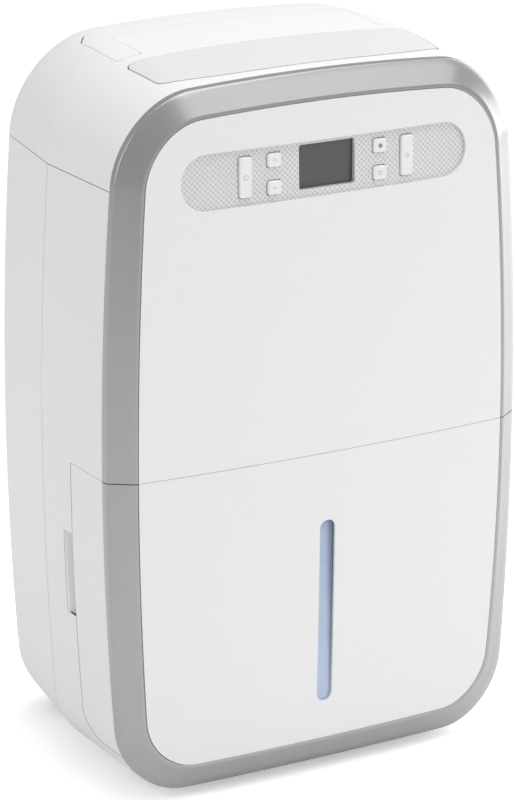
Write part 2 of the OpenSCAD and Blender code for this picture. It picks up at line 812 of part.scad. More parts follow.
module castor_fork(x, y) {
    ear = wheel_w / 2 + 0.8;
    color(dark_grey) {
        rod_z(x, y, fork_top, deck_z + deck_t - 0.5, stem_r);
        rod_z(x, y, fork_top - 3, fork_top, 13);
        for (s = [-1, 1]) {
            block(x + s * (ear + 1.2) - 1.2, x + s * (ear + 1.2) + 1.2, y - 2, y + trail + 6,
                wheel_r, fork_top - 2);
            rod_x(x + s * (ear + 1.2) - 1.2, x + s * (ear + 1.2) + 1.2, y + trail, wheel_r, 6);
        }
        rod_x(x - ear - 1.2, x + ear + 1.2, y + trail, wheel_r, axle_r);
    }
}

module castor_wheel(x, y) {
    color(dark_grey) difference() {
        rod_x(x - wheel_w / 2, x + wheel_w / 2, y + trail, wheel_r, wheel_r);
        rod_x(x - wheel_w, x + wheel_w, y + trail, wheel_r, axle_r + running_gap);
    }
}

module castor_fork_fl() { castor_fork(-castor_x, castor_ys[0]); }
module castor_fork_fr() { castor_fork(castor_x, castor_ys[0]); }
module castor_fork_rl() { castor_fork(-castor_x, castor_ys[1]); }
module castor_fork_rr() { castor_fork(castor_x, castor_ys[1]); }
module castor_wheel_fl() { castor_wheel(-castor_x, castor_ys[0]); }
module castor_wheel_fr() { castor_wheel(castor_x, castor_ys[0]); }
module castor_wheel_rl() { castor_wheel(-castor_x, castor_ys[1]); }
module castor_wheel_rr() { castor_wheel(castor_x, castor_ys[1]); }

// ---- Chassis ----

coil_gap = 14;
coil_w = half_w - 72;
evaporator_y = [back_y - coil_back - coil_t, back_y - coil_back];
condenser_y = [evaporator_y[0] - coil_gap - coil_t, evaporator_y[0] - coil_gap];
suction_x = -coil_w - 21;
suction_y = (evaporator_y[0] + evaporator_y[1]) / 2;
discharge_x = -coil_w - 21;
discharge_y = (condenser_y[0] + condenser_y[1]) / 2;
tray_w = half_w - 41;

module bay_wall() {
    color(light_grey) difference() {
        union() {
            block(-tray_w - 4, tray_w + 4, bay_y, bay_y + 2.5, deck_z + deck_t, tray_z);
            for (s = [-1, 1], z = screw_zs) rod_y(s * screw_x, bay_y + 1, post_end, z, post_r);
        }
        for (s = [-1, 1], z = screw_zs) rod_y(s * screw_x, post_end - 15, post_end + 1, z, screw_r + 0.05);
    }
}

module drip_tray() {
    y1 = condenser_y[0] - 6;
    y2 = evaporator_y[1] + 6;
    trough_w = coil_w + 8;
    color(light_grey) difference() {
        union() {
            translate([0, 0, tray_z]) linear_extrude(3) plan_with_cut_corners(tray_w, deck_rear - 4);
            difference() {
                block(-trough_w, trough_w, y1 - 4, y2 + 1, tray_z + 2, tray_z + 12);
                block(-trough_w + 2, trough_w - 2, y1 - 2, y2 - 1, tray_z + 3, tray_z + 13);
            }
            rod_z(drip_x, drip_y, tray_z - 20, tray_z + 10, 7);
            block(drip_x - 7, drip_x + 7, drip_y, y1 - 3, tray_z + 2, tray_z + 10);
        }
        rod_z(drip_x, drip_y, tray_z - 21, tray_z + 8, 5);
        block(drip_x - 5, drip_x + 5, drip_y, y1 - 1, tray_z + 3, tray_z + 8);
        rod_z(suction_x, suction_y, tray_z - 1, tray_z + 4, 7);
        rod_z(discharge_x, discharge_y, tray_z - 1, tray_z + 4, 6);
    }
}

// ---- Refrigeration ----

comp_low = deck_z + deck_t + foot_h;
comp_high = tank_top - 50;
coil_low = tray_z + 17;
coil_high = seam_z - 21;
tube_r = 4;
tube_rows = 8;
tube_pitch = (coil_high - coil_low) / tube_rows;
function tube_z(i) = coil_low + (i + 0.5) * tube_pitch;

module compressor() {
    color("#26282b") {
        translate([comp_x, comp_y, comp_low + 3]) rotate_extrude() polygon(concat([[0, 0]],
            arc_points(comp_r - 14, 12, 12, -90, 0, 4),
            arc_points(comp_r - 30, comp_high - comp_low - 31, 28, 0, 90, 6),
            [[0, comp_high - comp_low - 3]]));
        rod_z(comp_x, comp_y, comp_low, comp_low + 3.5, comp_r - 1);
        block(comp_x + comp_r - 12, comp_x + comp_r + 6, comp_y - 14, comp_y + 14, comp_high - 75,
            comp_high - 45);
    }
}

module compressor_feet() {
    color("#1b1b1c") for (a = [30, 150, 270])
        translate([comp_x + (comp_r - 13) * cos(a), comp_y + (comp_r - 13) * sin(a), deck_z + deck_t]) {
            cylinder(h = foot_h, r = 8);
        }
}

acc_r = 19;
acc_x = comp_x - comp_r - acc_r - 5;

module accumulator() {
    color("#2d2f33") translate([acc_x, comp_y, 0]) {
        rod_z(0, 0, comp_low + 55, comp_high - 30, acc_r);
        translate([0, 0, comp_high - 30]) cylinder(h = 10, r1 = acc_r, r2 = 8);
        translate([0, 0, comp_low + 45]) cylinder(h = 10, r1 = 8, r2 = acc_r);
        block(acc_r - 2, acc_r + 5.5, -6, 6, comp_low + 70, comp_low + 80);
    }
}

module discharge_pipe() {
    z = comp_high + 22;
    color(copper) pipe([[comp_x, comp_y, comp_high], [comp_x, comp_y, z], [discharge_x, discharge_y, z],
        [discharge_x, discharge_y, tube_z(tube_rows - 1)], [-coil_w, discharge_y, tube_z(tube_rows - 1)]], 3.2);
}

module suction_pipe() {
    z = comp_high + 6;
    color(copper) pipe([[acc_x, comp_y, comp_high - 20], [acc_x, comp_y, z], [suction_x, suction_y, z],
        [suction_x, suction_y, tube_z(0)], [-coil_w, suction_y, tube_z(0)]], 4);
}

module capillary_tube() {
    x = -coil_w - 6;
    y = (discharge_y + suction_y) / 2;
    color(copper) pipe([[-coil_w, discharge_y, tube_z(0)], [x, discharge_y, tube_z(0)],
        [x, y, tube_z(0)], [x, y, tube_z(tube_rows - 1)], [x, suction_y, tube_z(tube_rows - 1)],
        [-coil_w, suction_y, tube_z(tube_rows - 1)]], 1.2);
}

// A finned coil between two depths: fins, end plates and one tube that winds up through them
module coil(ys) {
    y = (ys[0] + ys[1]) / 2;
    color("#c9ced2") for (i = [0 : fin_count - 1]) {
        x = -coil_w + 4 + i * (2 * coil_w - 8) / (fin_count - 1);
        thick = (i == 0 || i == fin_count - 1) ? 1.6 : 1;
        block(x - thick / 2, x + thick / 2, ys[0], ys[1], coil_low, coil_high);
    }
    color(copper) {
        for (i = [0 : tube_rows - 1]) rod_x(-coil_w, coil_w, y, tube_z(i), tube_r);
        for (i = [0 : tube_rows - 2])
            translate([(i % 2 == 0 ? 1 : -1) * (coil_w - 1.5), y, tube_z(i) + tube_pitch / 2])
                rotate([90, i % 2 == 0 ? 90 : -90, 0]) rotate_extrude(angle = 180)
                    translate([tube_pitch / 2, 0]) circle(tube_r - 0.5);
    }
}
module condenser() { coil(condenser_y); }
module evaporator() { coil(evaporator_y); }

// ---- Fan ----

fan_r = volute_r - 19;
wheel_front = volute_front + 5;
wheel_rear = volute_rear - 6;
motor_r = 0.46 * fan_r;
motor_front = volute_rear + 4;
motor_rear = condenser_y[0] - 34.5;
shaft_r = 4;

// Spiral outline of the fan housing, grown by g
module scroll(g) {
    polygon(concat(
        [for (a = [90 : 10 : 360]) let (r = volute_r - 12 * (360 - a) / 270 + g) [r * cos(a), r * sin(a)]],
        [[volute_r + g, duct_low - fan_z], [mouth_in - g, duct_low - fan_z]]));
}

module fan_volute() {
    color(dark_grey) translate([0, 0, fan_z]) difference() {
        translate([0, volute_rear, 0]) rotate([90, 0, 0]) linear_extrude(volute_rear - volute_front) scroll(0);
        translate([0, volute_rear - 2, 0]) rotate([90, 0, 0])
            linear_extrude(volute_rear - volute_front - 4) scroll(-2);
        block(mouth_in + 2, volute_r - 2, volute_front + 2, volute_rear - 2, 60, duct_low - fan_z + 1);
        rod_y(0, volute_rear - 3, volute_rear + 1, 0, fan_r - 16);
    }
}

module fan_wheel() {
    color("#555a5e") translate([0, 0, fan_z]) {
        rod_y(0, wheel_front, wheel_front + 2, 0, fan_r);
        difference() {
            rod_y(0, wheel_rear - 3, wheel_rear, 0, fan_r);
            rod_y(0, wheel_rear - 4, wheel_rear + 1, 0, fan_r - 10);
        }
        for (i = [0 : blade_count - 1]) rotate([0, i * 360 / blade_count, 0]) translate([fan_r - 5.5, 0, 0])
            rotate([0, 35, 0]) block(-5, 5, wheel_front + 1, wheel_rear - 1, -0.6, 0.6);
        rod_y(0, wheel_front, wheel_front + 22, 0, 14);
        rod_y(0, wheel_front, motor_front + 20, 0, shaft_r);
    }
}

module fan_motor() {
    color("#8f9499") difference() {
        union() {
            rod_y(0, motor_front + 4, motor_rear, fan_z, motor_r);
            rod_y(0, motor_front, motor_front + 5, fan_z, 14);
        }
        rod_y(0, motor_front - 1, motor_front + 22, fan_z, shaft_r + running_gap);
    }
}

module motor_bracket() {
    x = 0.7 * volute_r;
    z = 0.6 * volute_r;
    color(dark_grey) {
        block(-x - 4, x + 4, motor_rear, motor_rear + 3, fan_z - 14, fan_z + 14);
        for (s = [-1, 1]) {
            block(s * x - 4, s * x + 4, motor_rear, motor_rear + 3, fan_z - z - 4, fan_z + z + 4);
            for (t = [-1, 1]) block(s * x - 4, s * x + 4, volute_rear, motor_rear + 1,
                fan_z + t * z - 4, fan_z + t * z + 4);
        }
    }
}

// ---- Electrics, intake and small pieces ----

box_x = [comp_x + comp_r + 33, half_w - 59];
box_y = [back_y - 103, back_y - 41];
box_z = [deck_z + deck_t + 38, tank_top - 90];

module control_box() {
    color(light_grey) difference() {
        block(box_x[0], box_x[1], box_y[0], box_y[1], box_z[0], box_z[1]);
        block(box_x[0] + 2, box_x[1] - 2, box_y[0] + 2, box_y[1] - 2, box_z[0] + 2, box_z[1] - 2);
    }
}

module run_capacitor() {
    r = 16;
    color("#e3e5e6") {
        rod_z((box_x[0] + box_x[1]) / 2, (box_y[0] + box_y[1]) / 2, box_z[1], box_z[1] + 55, r);
        rod_z((box_x[0] + box_x[1]) / 2, (box_y[0] + box_y[1]) / 2, box_z[1] + 54, box_z[1] + 60, r - 8);
    }
}

grille_gap = 0.6;

module intake_grille() {
    w = grille_w - 2 * grille_gap;
    h = grille_h - 2 * grille_gap;
    y0 = back_y - 8;
    color(white) {
        difference() {
            block(-w / 2, w / 2, y0, back_y - 0.3, grille_z - h / 2, grille_z + h / 2);
            block(-w / 2 + 9, w / 2 - 9, y0 - 1, back_y + 1, grille_z - h / 2 + 9, grille_z + h / 2 - 9);
        }
        for (z = [-h / 2 + 14 : slat_pitch : h / 2 - 12]) block(-w / 2 + 8, w / 2 - 8, y0 + 1, back_y - 1,
            grille_z + z, grille_z + z + 2);
        for (x = [-1, 0, 1]) block(x * w / 4 - 1.5, x * w / 4 + 1.5, y0 + 0.5, back_y - 3,
            grille_z - h / 2 + 8, grille_z + h / 2 - 8);
    }
}

module air_filter() {
    w = grille_w - 8;
    h = grille_h - 8;
    y1 = back_y - 8.4;
    color("#4a4d50") {
        difference() {
            block(-w / 2, w / 2, y1 - 3, y1, grille_z - h / 2, grille_z + h / 2);
            block(-w / 2 + 6, w / 2 - 6, y1 - 4, y1 + 1, grille_z - h / 2 + 6, grille_z + h / 2 - 6);
        }
        block(-w / 2 + 5, w / 2 - 5, y1 - 2, y1 - 1, grille_z - h / 2 + 5, grille_z + h / 2 - 5);
    }
}

module drain_plug() {
    color(dark_grey) {
        rod_y(plug_x, back_y - 14, back_y - 0.5, plug_z, 7.6);
        block(plug_x - 1.5, plug_x + 1.5, back_y - 1, back_y, plug_z - 6, plug_z + 6);
    }
}

module cord_inlet() {
    color(dark_grey) difference() {
        union() {
            rod_y(inlet_x, back_y - 14, back_y - 0.2, inlet_z, 8.9);
            rod_y(inlet_x, back_y - wall - 3, back_y - wall, inlet_z, 13);
        }
        rod_y(inlet_x, back_y - 15, back_y + 1, inlet_z, 4.2);
    }
}

module tank_switch() {
    x = 48 - bucket_w;
    color(dark_grey) {
        block(x - 12, x + 12, bay_y - 12, bay_y, bucket_top + 14, bucket_top + 28);
        block(x - 2, x + 2, bay_y - 16, bay_y - 11, bucket_top + 17, bucket_top + 20);
    }
}

module humidity_sensor() {
    color(light_grey) block(-97, -82, evaporator_y[1], evaporator_y[1] + 5, coil_high - 50, coil_high - 22);
}

module housing_screws() {
    color("#7d8286") for (s = [-1, 1], z = screw_zs) {
        rod_y(s * screw_x, post_end - 14, back_y - 3.9, z, screw_r);
        rod_y(s * screw_x, back_y - 4, back_y - 1.6, z, screw_head_r);
    }
}

rear_cover();
front_casing();
top_cover();
front_frame();
front_panel();
control_plate();
display_lens();
power_button();
timer_button();
fan_button();
mode_button();
up_button();
down_button();
display_board();
outlet_flap();
flap_pin();
outlet_duct();
carry_handle();
handle_pins();
tank_shell();
tank_frame();
tank_front();
tank_window();
tank_bucket();
tank_lid();
tank_handle();
tank_float();
base_deck();
castor_fork_fl();
castor_fork_fr();
castor_fork_rl();
castor_fork_rr();
castor_wheel_fl();
castor_wheel_fr();
castor_wheel_rl();
castor_wheel_rr();
bay_wall();
drip_tray();
compressor();
compressor_feet();
accumulator();
discharge_pipe();
suction_pipe();
capillary_tube();
condenser();
evaporator();
fan_volute();
fan_wheel();
fan_motor();
motor_bracket();
control_box();
run_capacitor();
intake_grille();
air_filter();
drain_plug();
cord_inlet();
tank_switch();
humidity_sensor();
housing_screws();
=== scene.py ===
"""Portable room dehumidifier: its moulded shells, front, controls, tank and small parts."""

import json
from math import cos, pi, radians, sin, sqrt

import bmesh
import bpy
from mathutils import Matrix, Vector


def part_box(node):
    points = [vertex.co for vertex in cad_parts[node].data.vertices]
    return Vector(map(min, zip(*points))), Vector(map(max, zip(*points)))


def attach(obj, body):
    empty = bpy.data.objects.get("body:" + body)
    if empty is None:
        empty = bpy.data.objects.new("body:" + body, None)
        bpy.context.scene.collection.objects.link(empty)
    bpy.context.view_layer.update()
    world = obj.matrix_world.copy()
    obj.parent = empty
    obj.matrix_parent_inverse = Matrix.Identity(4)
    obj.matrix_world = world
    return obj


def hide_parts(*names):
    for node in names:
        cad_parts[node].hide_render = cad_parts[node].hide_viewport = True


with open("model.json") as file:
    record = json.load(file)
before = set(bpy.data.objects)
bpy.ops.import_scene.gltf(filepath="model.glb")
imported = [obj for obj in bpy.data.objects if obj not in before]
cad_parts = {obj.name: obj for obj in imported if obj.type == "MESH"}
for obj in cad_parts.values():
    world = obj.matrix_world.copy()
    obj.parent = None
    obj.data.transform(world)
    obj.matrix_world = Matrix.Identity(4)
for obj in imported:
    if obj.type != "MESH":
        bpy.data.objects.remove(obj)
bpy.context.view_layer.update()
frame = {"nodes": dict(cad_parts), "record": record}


# ---- Studio ----
# A white sweep of floor under large soft lights, and a long-lens camera that looks
# down a little on the machine's front and left side.

camera = bpy.data.objects.new("camera", bpy.data.cameras.new("camera"))
camera.data.lens = 164.1
camera.location = (-1.4677, -2.5637, 1.2333)
aim = Vector((0.0048, -0.0162, 0.2944)) - camera.location
camera.rotation_euler = aim.to_track_quat("-Z", "Y").to_euler()
bpy.context.scene.collection.objects.link(camera)
bpy.context.scene.camera = camera
bpy.context.scene.view_settings.view_transform = "Standard"


def softbox(name, place, towards, width, height, power):
    """A large soft light that faces a point."""
    light = bpy.data.lights.new(name, "AREA")
    light.shape = "RECTANGLE"
    light.size, light.size_y = width, height
    light.energy = power
    lamp = bpy.data.objects.new(name, light)
    lamp.location = place
    lamp.rotation_euler = (Vector(towards) - Vector(place)).to_track_quat("-Z", "Y").to_euler()
    bpy.context.scene.collection.objects.link(lamp)


softbox("overhead_light", (0.4, -0.4, 3.0), (0, 0, 0.3), 2.6, 2.6, 46)
softbox("right_light", (2.6, 0.5, 1.2), (0, 0, 0.35), 2.2, 2.4, 38)
softbox("front_light", (1.9, -3.1, 2.5), (0, 0, 0.4), 3.2, 2.4, 27)
softbox("left_light", (-2.8, 0.4, 1.5), (0, 0, 0.35), 2.0, 2.0, 18)

world = bpy.data.worlds.new("studio_air")
world.use_nodes = True
world.node_tree.nodes["Background"].inputs["Color"].default_value = (1, 1, 1, 1)
world.node_tree.nodes["Background"].inputs["Strength"].default_value = 0.50
bpy.context.scene.world = world

sweep = bmesh.new()
bmesh.ops.create_grid(sweep, x_segments=1, y_segments=1, size=14)
floor_mesh = bpy.data.meshes.new("floor")
sweep.to_mesh(floor_mesh)
floor = bpy.data.objects.new("floor", floor_mesh)
bpy.context.scene.collection.objects.link(floor)
floor_paint = bpy.data.materials.new("floor_paint")
floor_paint.use_nodes = True
floor_shader = floor_paint.node_tree.nodes["Principled BSDF"]
floor_shader.inputs["Base Color"].default_value = (0.94, 0.94, 0.94, 1)
floor_shader.inputs["Roughness"].default_value = 0.7
floor_shader.inputs["Emission Color"].default_value = (1, 1, 1, 1)
seen = floor_paint.node_tree.nodes.new("ShaderNodeLightPath")
glow = floor_paint.node_tree.nodes.new("ShaderNodeMath")
glow.operation = "MULTIPLY"
glow.inputs[1].default_value = 0.36
floor_paint.node_tree.links.new(seen.outputs["Is Camera Ray"], glow.inputs[0])
floor_paint.node_tree.links.new(glow.outputs["Value"], floor_shader.inputs["Emission Strength"])
floor_mesh.materials.append(floor_paint)


# ---- Rear cover ----
# The back half of the housing: one injection moulding in white ABS with a fine satin
# grain, screwed to the chassis. Its sides draw in and its edges round off to the back.

half_width, height, floor_gap = 0.195, 0.616, 0.008
front_y, back_y, rim_y = -0.141, 0.141, -0.1162
seam_y, seam_z, split_z = -0.0078, 0.522, 0.2846
seam_gap, shell_wall = 0.0008, 0.0025
shell_front = rim_y + 0.0028
peak_y = rim_y + 0.56 * (back_y - rim_y)
side_swell, side_crown, top_fall, rim_bow = 0.0155, 0.010, 0.0143, 0.0064
bottom_corner, top_corner = 0.060, 0.068
rear_corner, rear_top_round, rear_low_round, rear_draft = 0.051, 0.085, 0.030, 0.17
castor_x, castor_end, well_radius, well_top = 0.112, 0.0437, 0.027, 0.036


def rounding(y, radius):
    """How far a rear edge of that radius has turned in at depth y."""
    past = max(0.0, y - (back_y - radius))
    return radius - sqrt(max(0.0, radius ** 2 - past ** 2))


def top_height(y):
    """Height of the top's middle line, which falls from its peak to the front and back."""
    fall = top_fall * ((y - peak_y) / (rim_y - peak_y)) ** 2
    return height - fall - rounding(y, rear_top_round)


def arc(cx, cz, radius, start, end, steps):
    """Points along a round arc between two angles in degrees."""
    turns = [radians(start + (end - start) * i / steps) for i in range(steps + 1)]
    return [(cx + radius * cos(t), cz + radius * sin(t)) for t in turns]


def stretch(a, b, steps):
    """Points between two points, without those two."""
    return [(a[0] + (b[0] - a[0]) * i / steps, a[1] + (b[1] - a[1]) * i / steps) for i in range(1, steps)]


def outline(half, low, high, low_radius, high_radius):
    """A rectangle with round corners, anticlockwise from the front, with swollen sides and a crowned top."""
    plain = arc(half - low_radius, low + low_radius, low_radius, -90, 0, 14)
    plain += stretch((half, low + low_radius), (half, high - high_radius), 40)
    plain += arc(half - high_radius, high - high_radius, high_radius, 0, 90, 16)
    plain += stretch((half - high_radius, high), (high_radius - half, high), 44)
    plain += arc(high_radius - half, high - high_radius, high_radius, 90, 180, 16)
    plain += stretch((-half, high - high_radius), (-half, low + low_radius), 40)
    plain += arc(low_radius - half, low + low_radius, low_radius, 180, 270, 14)
    plain += stretch((low_radius - half, low), (half - low_radius, low), 24)
    shaped = []
    for x, z in plain:
        swell = side_swell * ((z - 0.4675 * height) / (height / 2)) ** 2
        crown = side_crown * (x / half_width) ** 2
        shaped.append((x - x / half * swell, z - crown * (z - low) / (high - low)))
    return shaped


def rim_line(x):
    """Depth of the housing's front edge, which bows forward in the middle."""
    return rim_y - rim_bow * (1 - (x / half_width) ** 2)


def casing_ring(y, inset=0.0):
    """One ring of the housing's surface at a depth, drawn in by inset."""
    half = half_width - max(0.0, y - seam_y) * rear_draft - rounding(y, rear_corner) - inset
    low = floor_gap + rounding(y, rear_low_round) + inset
    less = inset + 0.9 * rounding(y, rear_corner)
    bow = max(0.0, 1 - (y - rim_y) / 0.0579)
    points = outline(half, low, top_height(y) - inset, bottom_corner - less, top_corner - less)
    return [Vector((x, y + bow * (rim_line(x) - rim_y), z)) for x, z in points]


def wrapped_grid(rings, closed=False):
    """A grid wrapped round through rings of points; closed joins its last ring to its first."""
    around = len(rings[0])
    along = len(rings) if closed else len(rings) - 1
    mesh = bmesh.new()
    bmesh.ops.create_grid(mesh, x_segments=around, y_segments=along, size=0.5)
    for v in mesh.verts:
        i, k = round((v.co.x + 0.5) * around), round((v.co.y + 0.5) * along)
        v.co = rings[k % len(rings)][i % around]
    bmesh.ops.remove_doubles(mesh, verts=mesh.verts, dist=1e-7)
    return mesh


def piece_of(name, mesh, material=None, turned=True):
    """Makes the mesh an object, with its faces turned outwards unless they already are."""
    if turned:
        bmesh.ops.recalc_face_normals(mesh, faces=mesh.faces)
    data = bpy.data.meshes.new(name)
    mesh.to_mesh(data)
    mesh.free()
    piece = bpy.data.objects.new(name, data)
    bpy.context.scene.collection.objects.link(piece)
    if material:
        data.materials.append(material)
    return piece


def casing_stations(start, end):
    """Depths from start to end, closer together where the back rounds off."""
    turn_y = back_y - rear_top_round
    plain = [start + (turn_y - start) * i / 30 for i in range(30)] if start < turn_y else []
    turning = [turn_y + rear_top_round * sin(radians(3 * i)) for i in range(31)]
    return [start] + [y for y in plain + turning if start + 1e-4 < y < end - 1e-4] + [end]


def casing_skin(name, start, end, thickness, material):
    """The housing's surface between two depths, with a wall inwards and, at the back, a rear face."""
    mesh = wrapped_grid([casing_ring(y) for y in casing_stations(start, end)])
    if end >= back_y:
        rear = [e for e in mesh.edges if e.is_boundary and all(v.co.y > back_y - 1e-4 for v in e.verts)]
        bmesh.ops.holes_fill(mesh, edges=rear, sides=0)
    bmesh.ops.recalc_face_normals(mesh, faces=mesh.faces)
    middle = Vector((0, (start + end) / 2, 0.3))
    side = max(mesh.faces, key=lambda f: f.calc_center_median().x)
    if side.normal.dot(side.calc_center_median() - middle) < 0:
        bmesh.ops.reverse_faces(mesh, faces=mesh.faces)
    piece = piece_of(name, mesh, material, turned=False)
    wall = piece.modifiers.new("wall", "SOLIDIFY")
    wall.thickness, wall.offset = thickness, -1
    bake(piece)
    return piece


def bake(piece):
    """Turns the piece's modifiers into its mesh."""
    shape = piece.evaluated_get(bpy.context.evaluated_depsgraph_get())
    solid = bpy.data.meshes.new_from_object(shape)
    piece.modifiers.clear()
    piece.data = solid


def prism(points, axis, low, high):
    """A closed bar with that outline, across x, y or z from low to high."""
    place = {"x": lambda p, t: (t, p[0], p[1]),
             "y": lambda p, t: (p[0], t, p[1]),
             "z": lambda p, t: (p[0], p[1], t)}
    mesh = bmesh.new()
    face = mesh.faces.new([mesh.verts.new(place[axis](p, low)) for p in points])
    pushed = bmesh.ops.extrude_face_region(mesh, geom=[face])
    moved = [g for g in pushed["geom"] if isinstance(g, bmesh.types.BMVert)]
    bmesh.ops.translate(mesh, verts=moved, vec=place[axis]((0, 0), high - low))
    return mesh


def block(x0, x1, y0, y1, z0, z1):
    """A box between two corners."""
    return prism([(x0, y0), (x1, y0), (x1, y1), (x0, y1)], "z", z0, z1)


def carve(piece, meshes, operation="DIFFERENCE"):
    """Cuts closed meshes out of a piece, or keeps what is inside them."""
    cutters = [piece_of("cutter", mesh) for mesh in meshes]
    for cutter in cutters:
        step = piece.modifiers.new("cut", "BOOLEAN")
        step.operation, step.object, step.solver = operation, cutter, "EXACT"
    bake(piece)
    for cutter in cutters:
        bpy.data.objects.remove(cutter)


def soften(piece, width, segments=2, fold=35):
    """Rounds the piece's edges as a mould does, and shades it smoothly."""
    weld = bmesh.new()
    weld.from_mesh(piece.data)
    bmesh.ops.remove_doubles(weld, verts=weld.verts, dist=2e-6)
    bmesh.ops.dissolve_degenerate(weld, edges=weld.edges, dist=2e-6)
    weld.to_mesh(piece.data)
    weld.free()
    piece.data.shade_smooth()
    piece.data.set_sharp_from_angle(angle=radians(fold))
    if width:
        edge = piece.modifiers.new("edge_radius", "BEVEL")
        edge.width, edge.segments = width, segments
        edge.limit_method, edge.angle_limit = "ANGLE", radians(fold)
        edge.harden_normals = True
        edge.miter_outer = "MITER_SHARP"


def join(piece, *others):
    """Adds the other pieces' meshes to the piece."""
    whole = bmesh.new()
    for part in (piece, *others):
        whole.from_mesh(part.data)
    whole.to_mesh(piece.data)
    whole.free()
    for part in others:
        bpy.data.objects.remove(part)


def moulded_surface():
    """Plastic from a mould: a faint cloudy tint, a fine spark-eroded grain and uneven gloss."""
    group = bpy.data.node_groups.new("moulded_surface", "ShaderNodeTree")
    given_sockets = (("Colour", "NodeSocketColor"), ("Shade", "NodeSocketColor"), ("Gloss", "NodeSocketFloat"),
                     ("Grain Size", "NodeSocketFloat"), ("Grain Depth", "NodeSocketFloat"))
    for name, kind in given_sockets:
        group.interface.new_socket(name, in_out="INPUT", socket_type=kind)
    made_sockets = (("Colour", "NodeSocketColor"), ("Roughness", "NodeSocketFloat"),
                    ("Normal", "NodeSocketVector"))
    for name, kind in made_sockets:
        group.interface.new_socket(name, in_out="OUTPUT", socket_type=kind)
    nodes, link = group.nodes, group.links.new
    given, result = nodes.new("NodeGroupInput"), nodes.new("NodeGroupOutput")
    place = nodes.new("ShaderNodeTexCoord")
    cloud = nodes.new("ShaderNodeTexNoise")
    cloud.inputs["Scale"].default_value = 7
    cloud.inputs["Detail"].default_value = 3
    link(place.outputs["Object"], cloud.inputs["Vector"])
    tint = nodes.new("ShaderNodeMix")
    tint.data_type = "RGBA"
    link(cloud.outputs["Fac"], tint.inputs["Factor"])
    link(given.outputs["Colour"], tint.inputs["A"])
    link(given.outputs["Shade"], tint.inputs["B"])
    link(tint.outputs["Result"], result.inputs["Colour"])
    grain = nodes.new("ShaderNodeTexNoise")
    grain.inputs["Detail"].default_value = 2
    link(place.outputs["Object"], grain.inputs["Vector"])
    link(given.outputs["Grain Size"], grain.inputs["Scale"])
    rough = nodes.new("ShaderNodeMath")
    rough.operation = "MULTIPLY_ADD"
    rough.inputs[1].default_value = 0.08
    link(cloud.outputs["Fac"], rough.inputs[0])
    link(given.outputs["Gloss"], rough.inputs[2])
    link(rough.outputs["Value"], result.inputs["Roughness"])
    bump = nodes.new("ShaderNodeBump")
    bump.inputs["Strength"].default_value = 0.6
    link(given.outputs["Grain Depth"], bump.inputs["Distance"])
    link(grain.outputs["Fac"], bump.inputs["Height"])
    link(bump.outputs["Normal"], result.inputs["Normal"])
    return group


plastic_group = moulded_surface()


def moulded(name, colour, shade, roughness, grain_size=2600, grain_depth=0.00002, coat=0.0, metallic=0.0):
    """A material with the moulded surface, clouded between a colour and a shade."""
    material = bpy.data.materials.new(name)
    material.use_nodes = True
    nodes, link = material.node_tree.nodes, material.node_tree.links.new
    shader = nodes["Principled BSDF"]
    skin = nodes.new("ShaderNodeGroup")
    skin.node_tree = plastic_group
    skin.inputs["Colour"].default_value = (*colour, 1)
    skin.inputs["Shade"].default_value = (*shade, 1)
    skin.inputs["Gloss"].default_value = roughness - 0.04
    skin.inputs["Grain Size"].default_value = grain_size
    skin.inputs["Grain Depth"].default_value = grain_depth
    link(skin.outputs["Colour"], shader.inputs["Base Color"])
    link(skin.outputs["Roughness"], shader.inputs["Roughness"])
    link(skin.outputs["Normal"], shader.inputs["Normal"])
    shader.inputs["Metallic"].default_value = metallic
    shader.inputs["Coat Weight"].default_value = coat
    shader.inputs["Coat Roughness"].default_value = 0.12
    return material


def place_on(piece, body, slot, *nodes):
    """Lets the piece move with a body and stand for its CAD nodes, which it hides; slot is not used."""
    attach(piece, body)
    if nodes:
        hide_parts(*nodes)


white_shell = moulded("white_shell", (0.80, 0.80, 0.80), (0.775, 0.778, 0.78), 0.42)

rear = casing_skin("rear_cover_shell", seam_y + seam_gap / 2, back_y, shell_wall, white_shell)
grille_low, grille_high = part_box("intake_grille")
grille_room = 0.0006
holes = [block(-0.3, 0.3, -0.1, 0.3, seam_z - seam_gap / 2, 0.7),
         block(grille_low.x - grille_room, grille_high.x + grille_room, 0.12, 0.2,
               grille_low.z - grille_room, grille_high.z + grille_room)]
for low, high in (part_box("cord_inlet"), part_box("drain_plug")):
    middle = (low + high) / 2
    radius = 0.009 if high.x < 0 else 0.008
    holes.append(prism(arc(middle.x, middle.z, radius, 0, 345, 23), "y", 0.11, 0.16))
screw_low, screw_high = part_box("housing_screws")
screw_radius, screw_hole = 0.004, 0.0046
for x in (screw_low.x + screw_radius, screw_high.x - screw_radius):
    for z in (screw_low.z + screw_radius, screw_high.z - screw_radius):
        holes.append(prism(arc(x, z, screw_hole, 0, 345, 23), "y", 0.11, 0.16))
for x in (-castor_x, castor_x):
    holes.append(prism(arc(x, back_y - castor_end, well_radius, 0, 350, 35), "z", 0.0, well_top))
carve(rear, holes)
soften(rear, 0.0005)
place_on(rear, "casing", "white_shell", "rear_cover")


# ---- Front casing ----
# The band between the front and the rear cover, in the same white ABS. Each side is cut
# away for the tank's cheek, and has a finger recess just behind it.

cheek_y, cheek_low, cheek_round = -0.0583, 0.043, 0.028
grip_low, grip_high, grip_back, grip_round = 0.150, 0.223, -0.0424, 0.003


def cheek_outline(grow, top_grow):
    """Side view of the tank's cheek: straight up its back, and round at its lower rear corner."""
    back, low, top = cheek_y + grow, cheek_low - grow, split_z + top_grow
    corner = arc(back - cheek_round, low + cheek_round, cheek_round, -90, 0, 12)
    return [(-0.16, low)] + corner + [(back, top), (-0.16, top)]


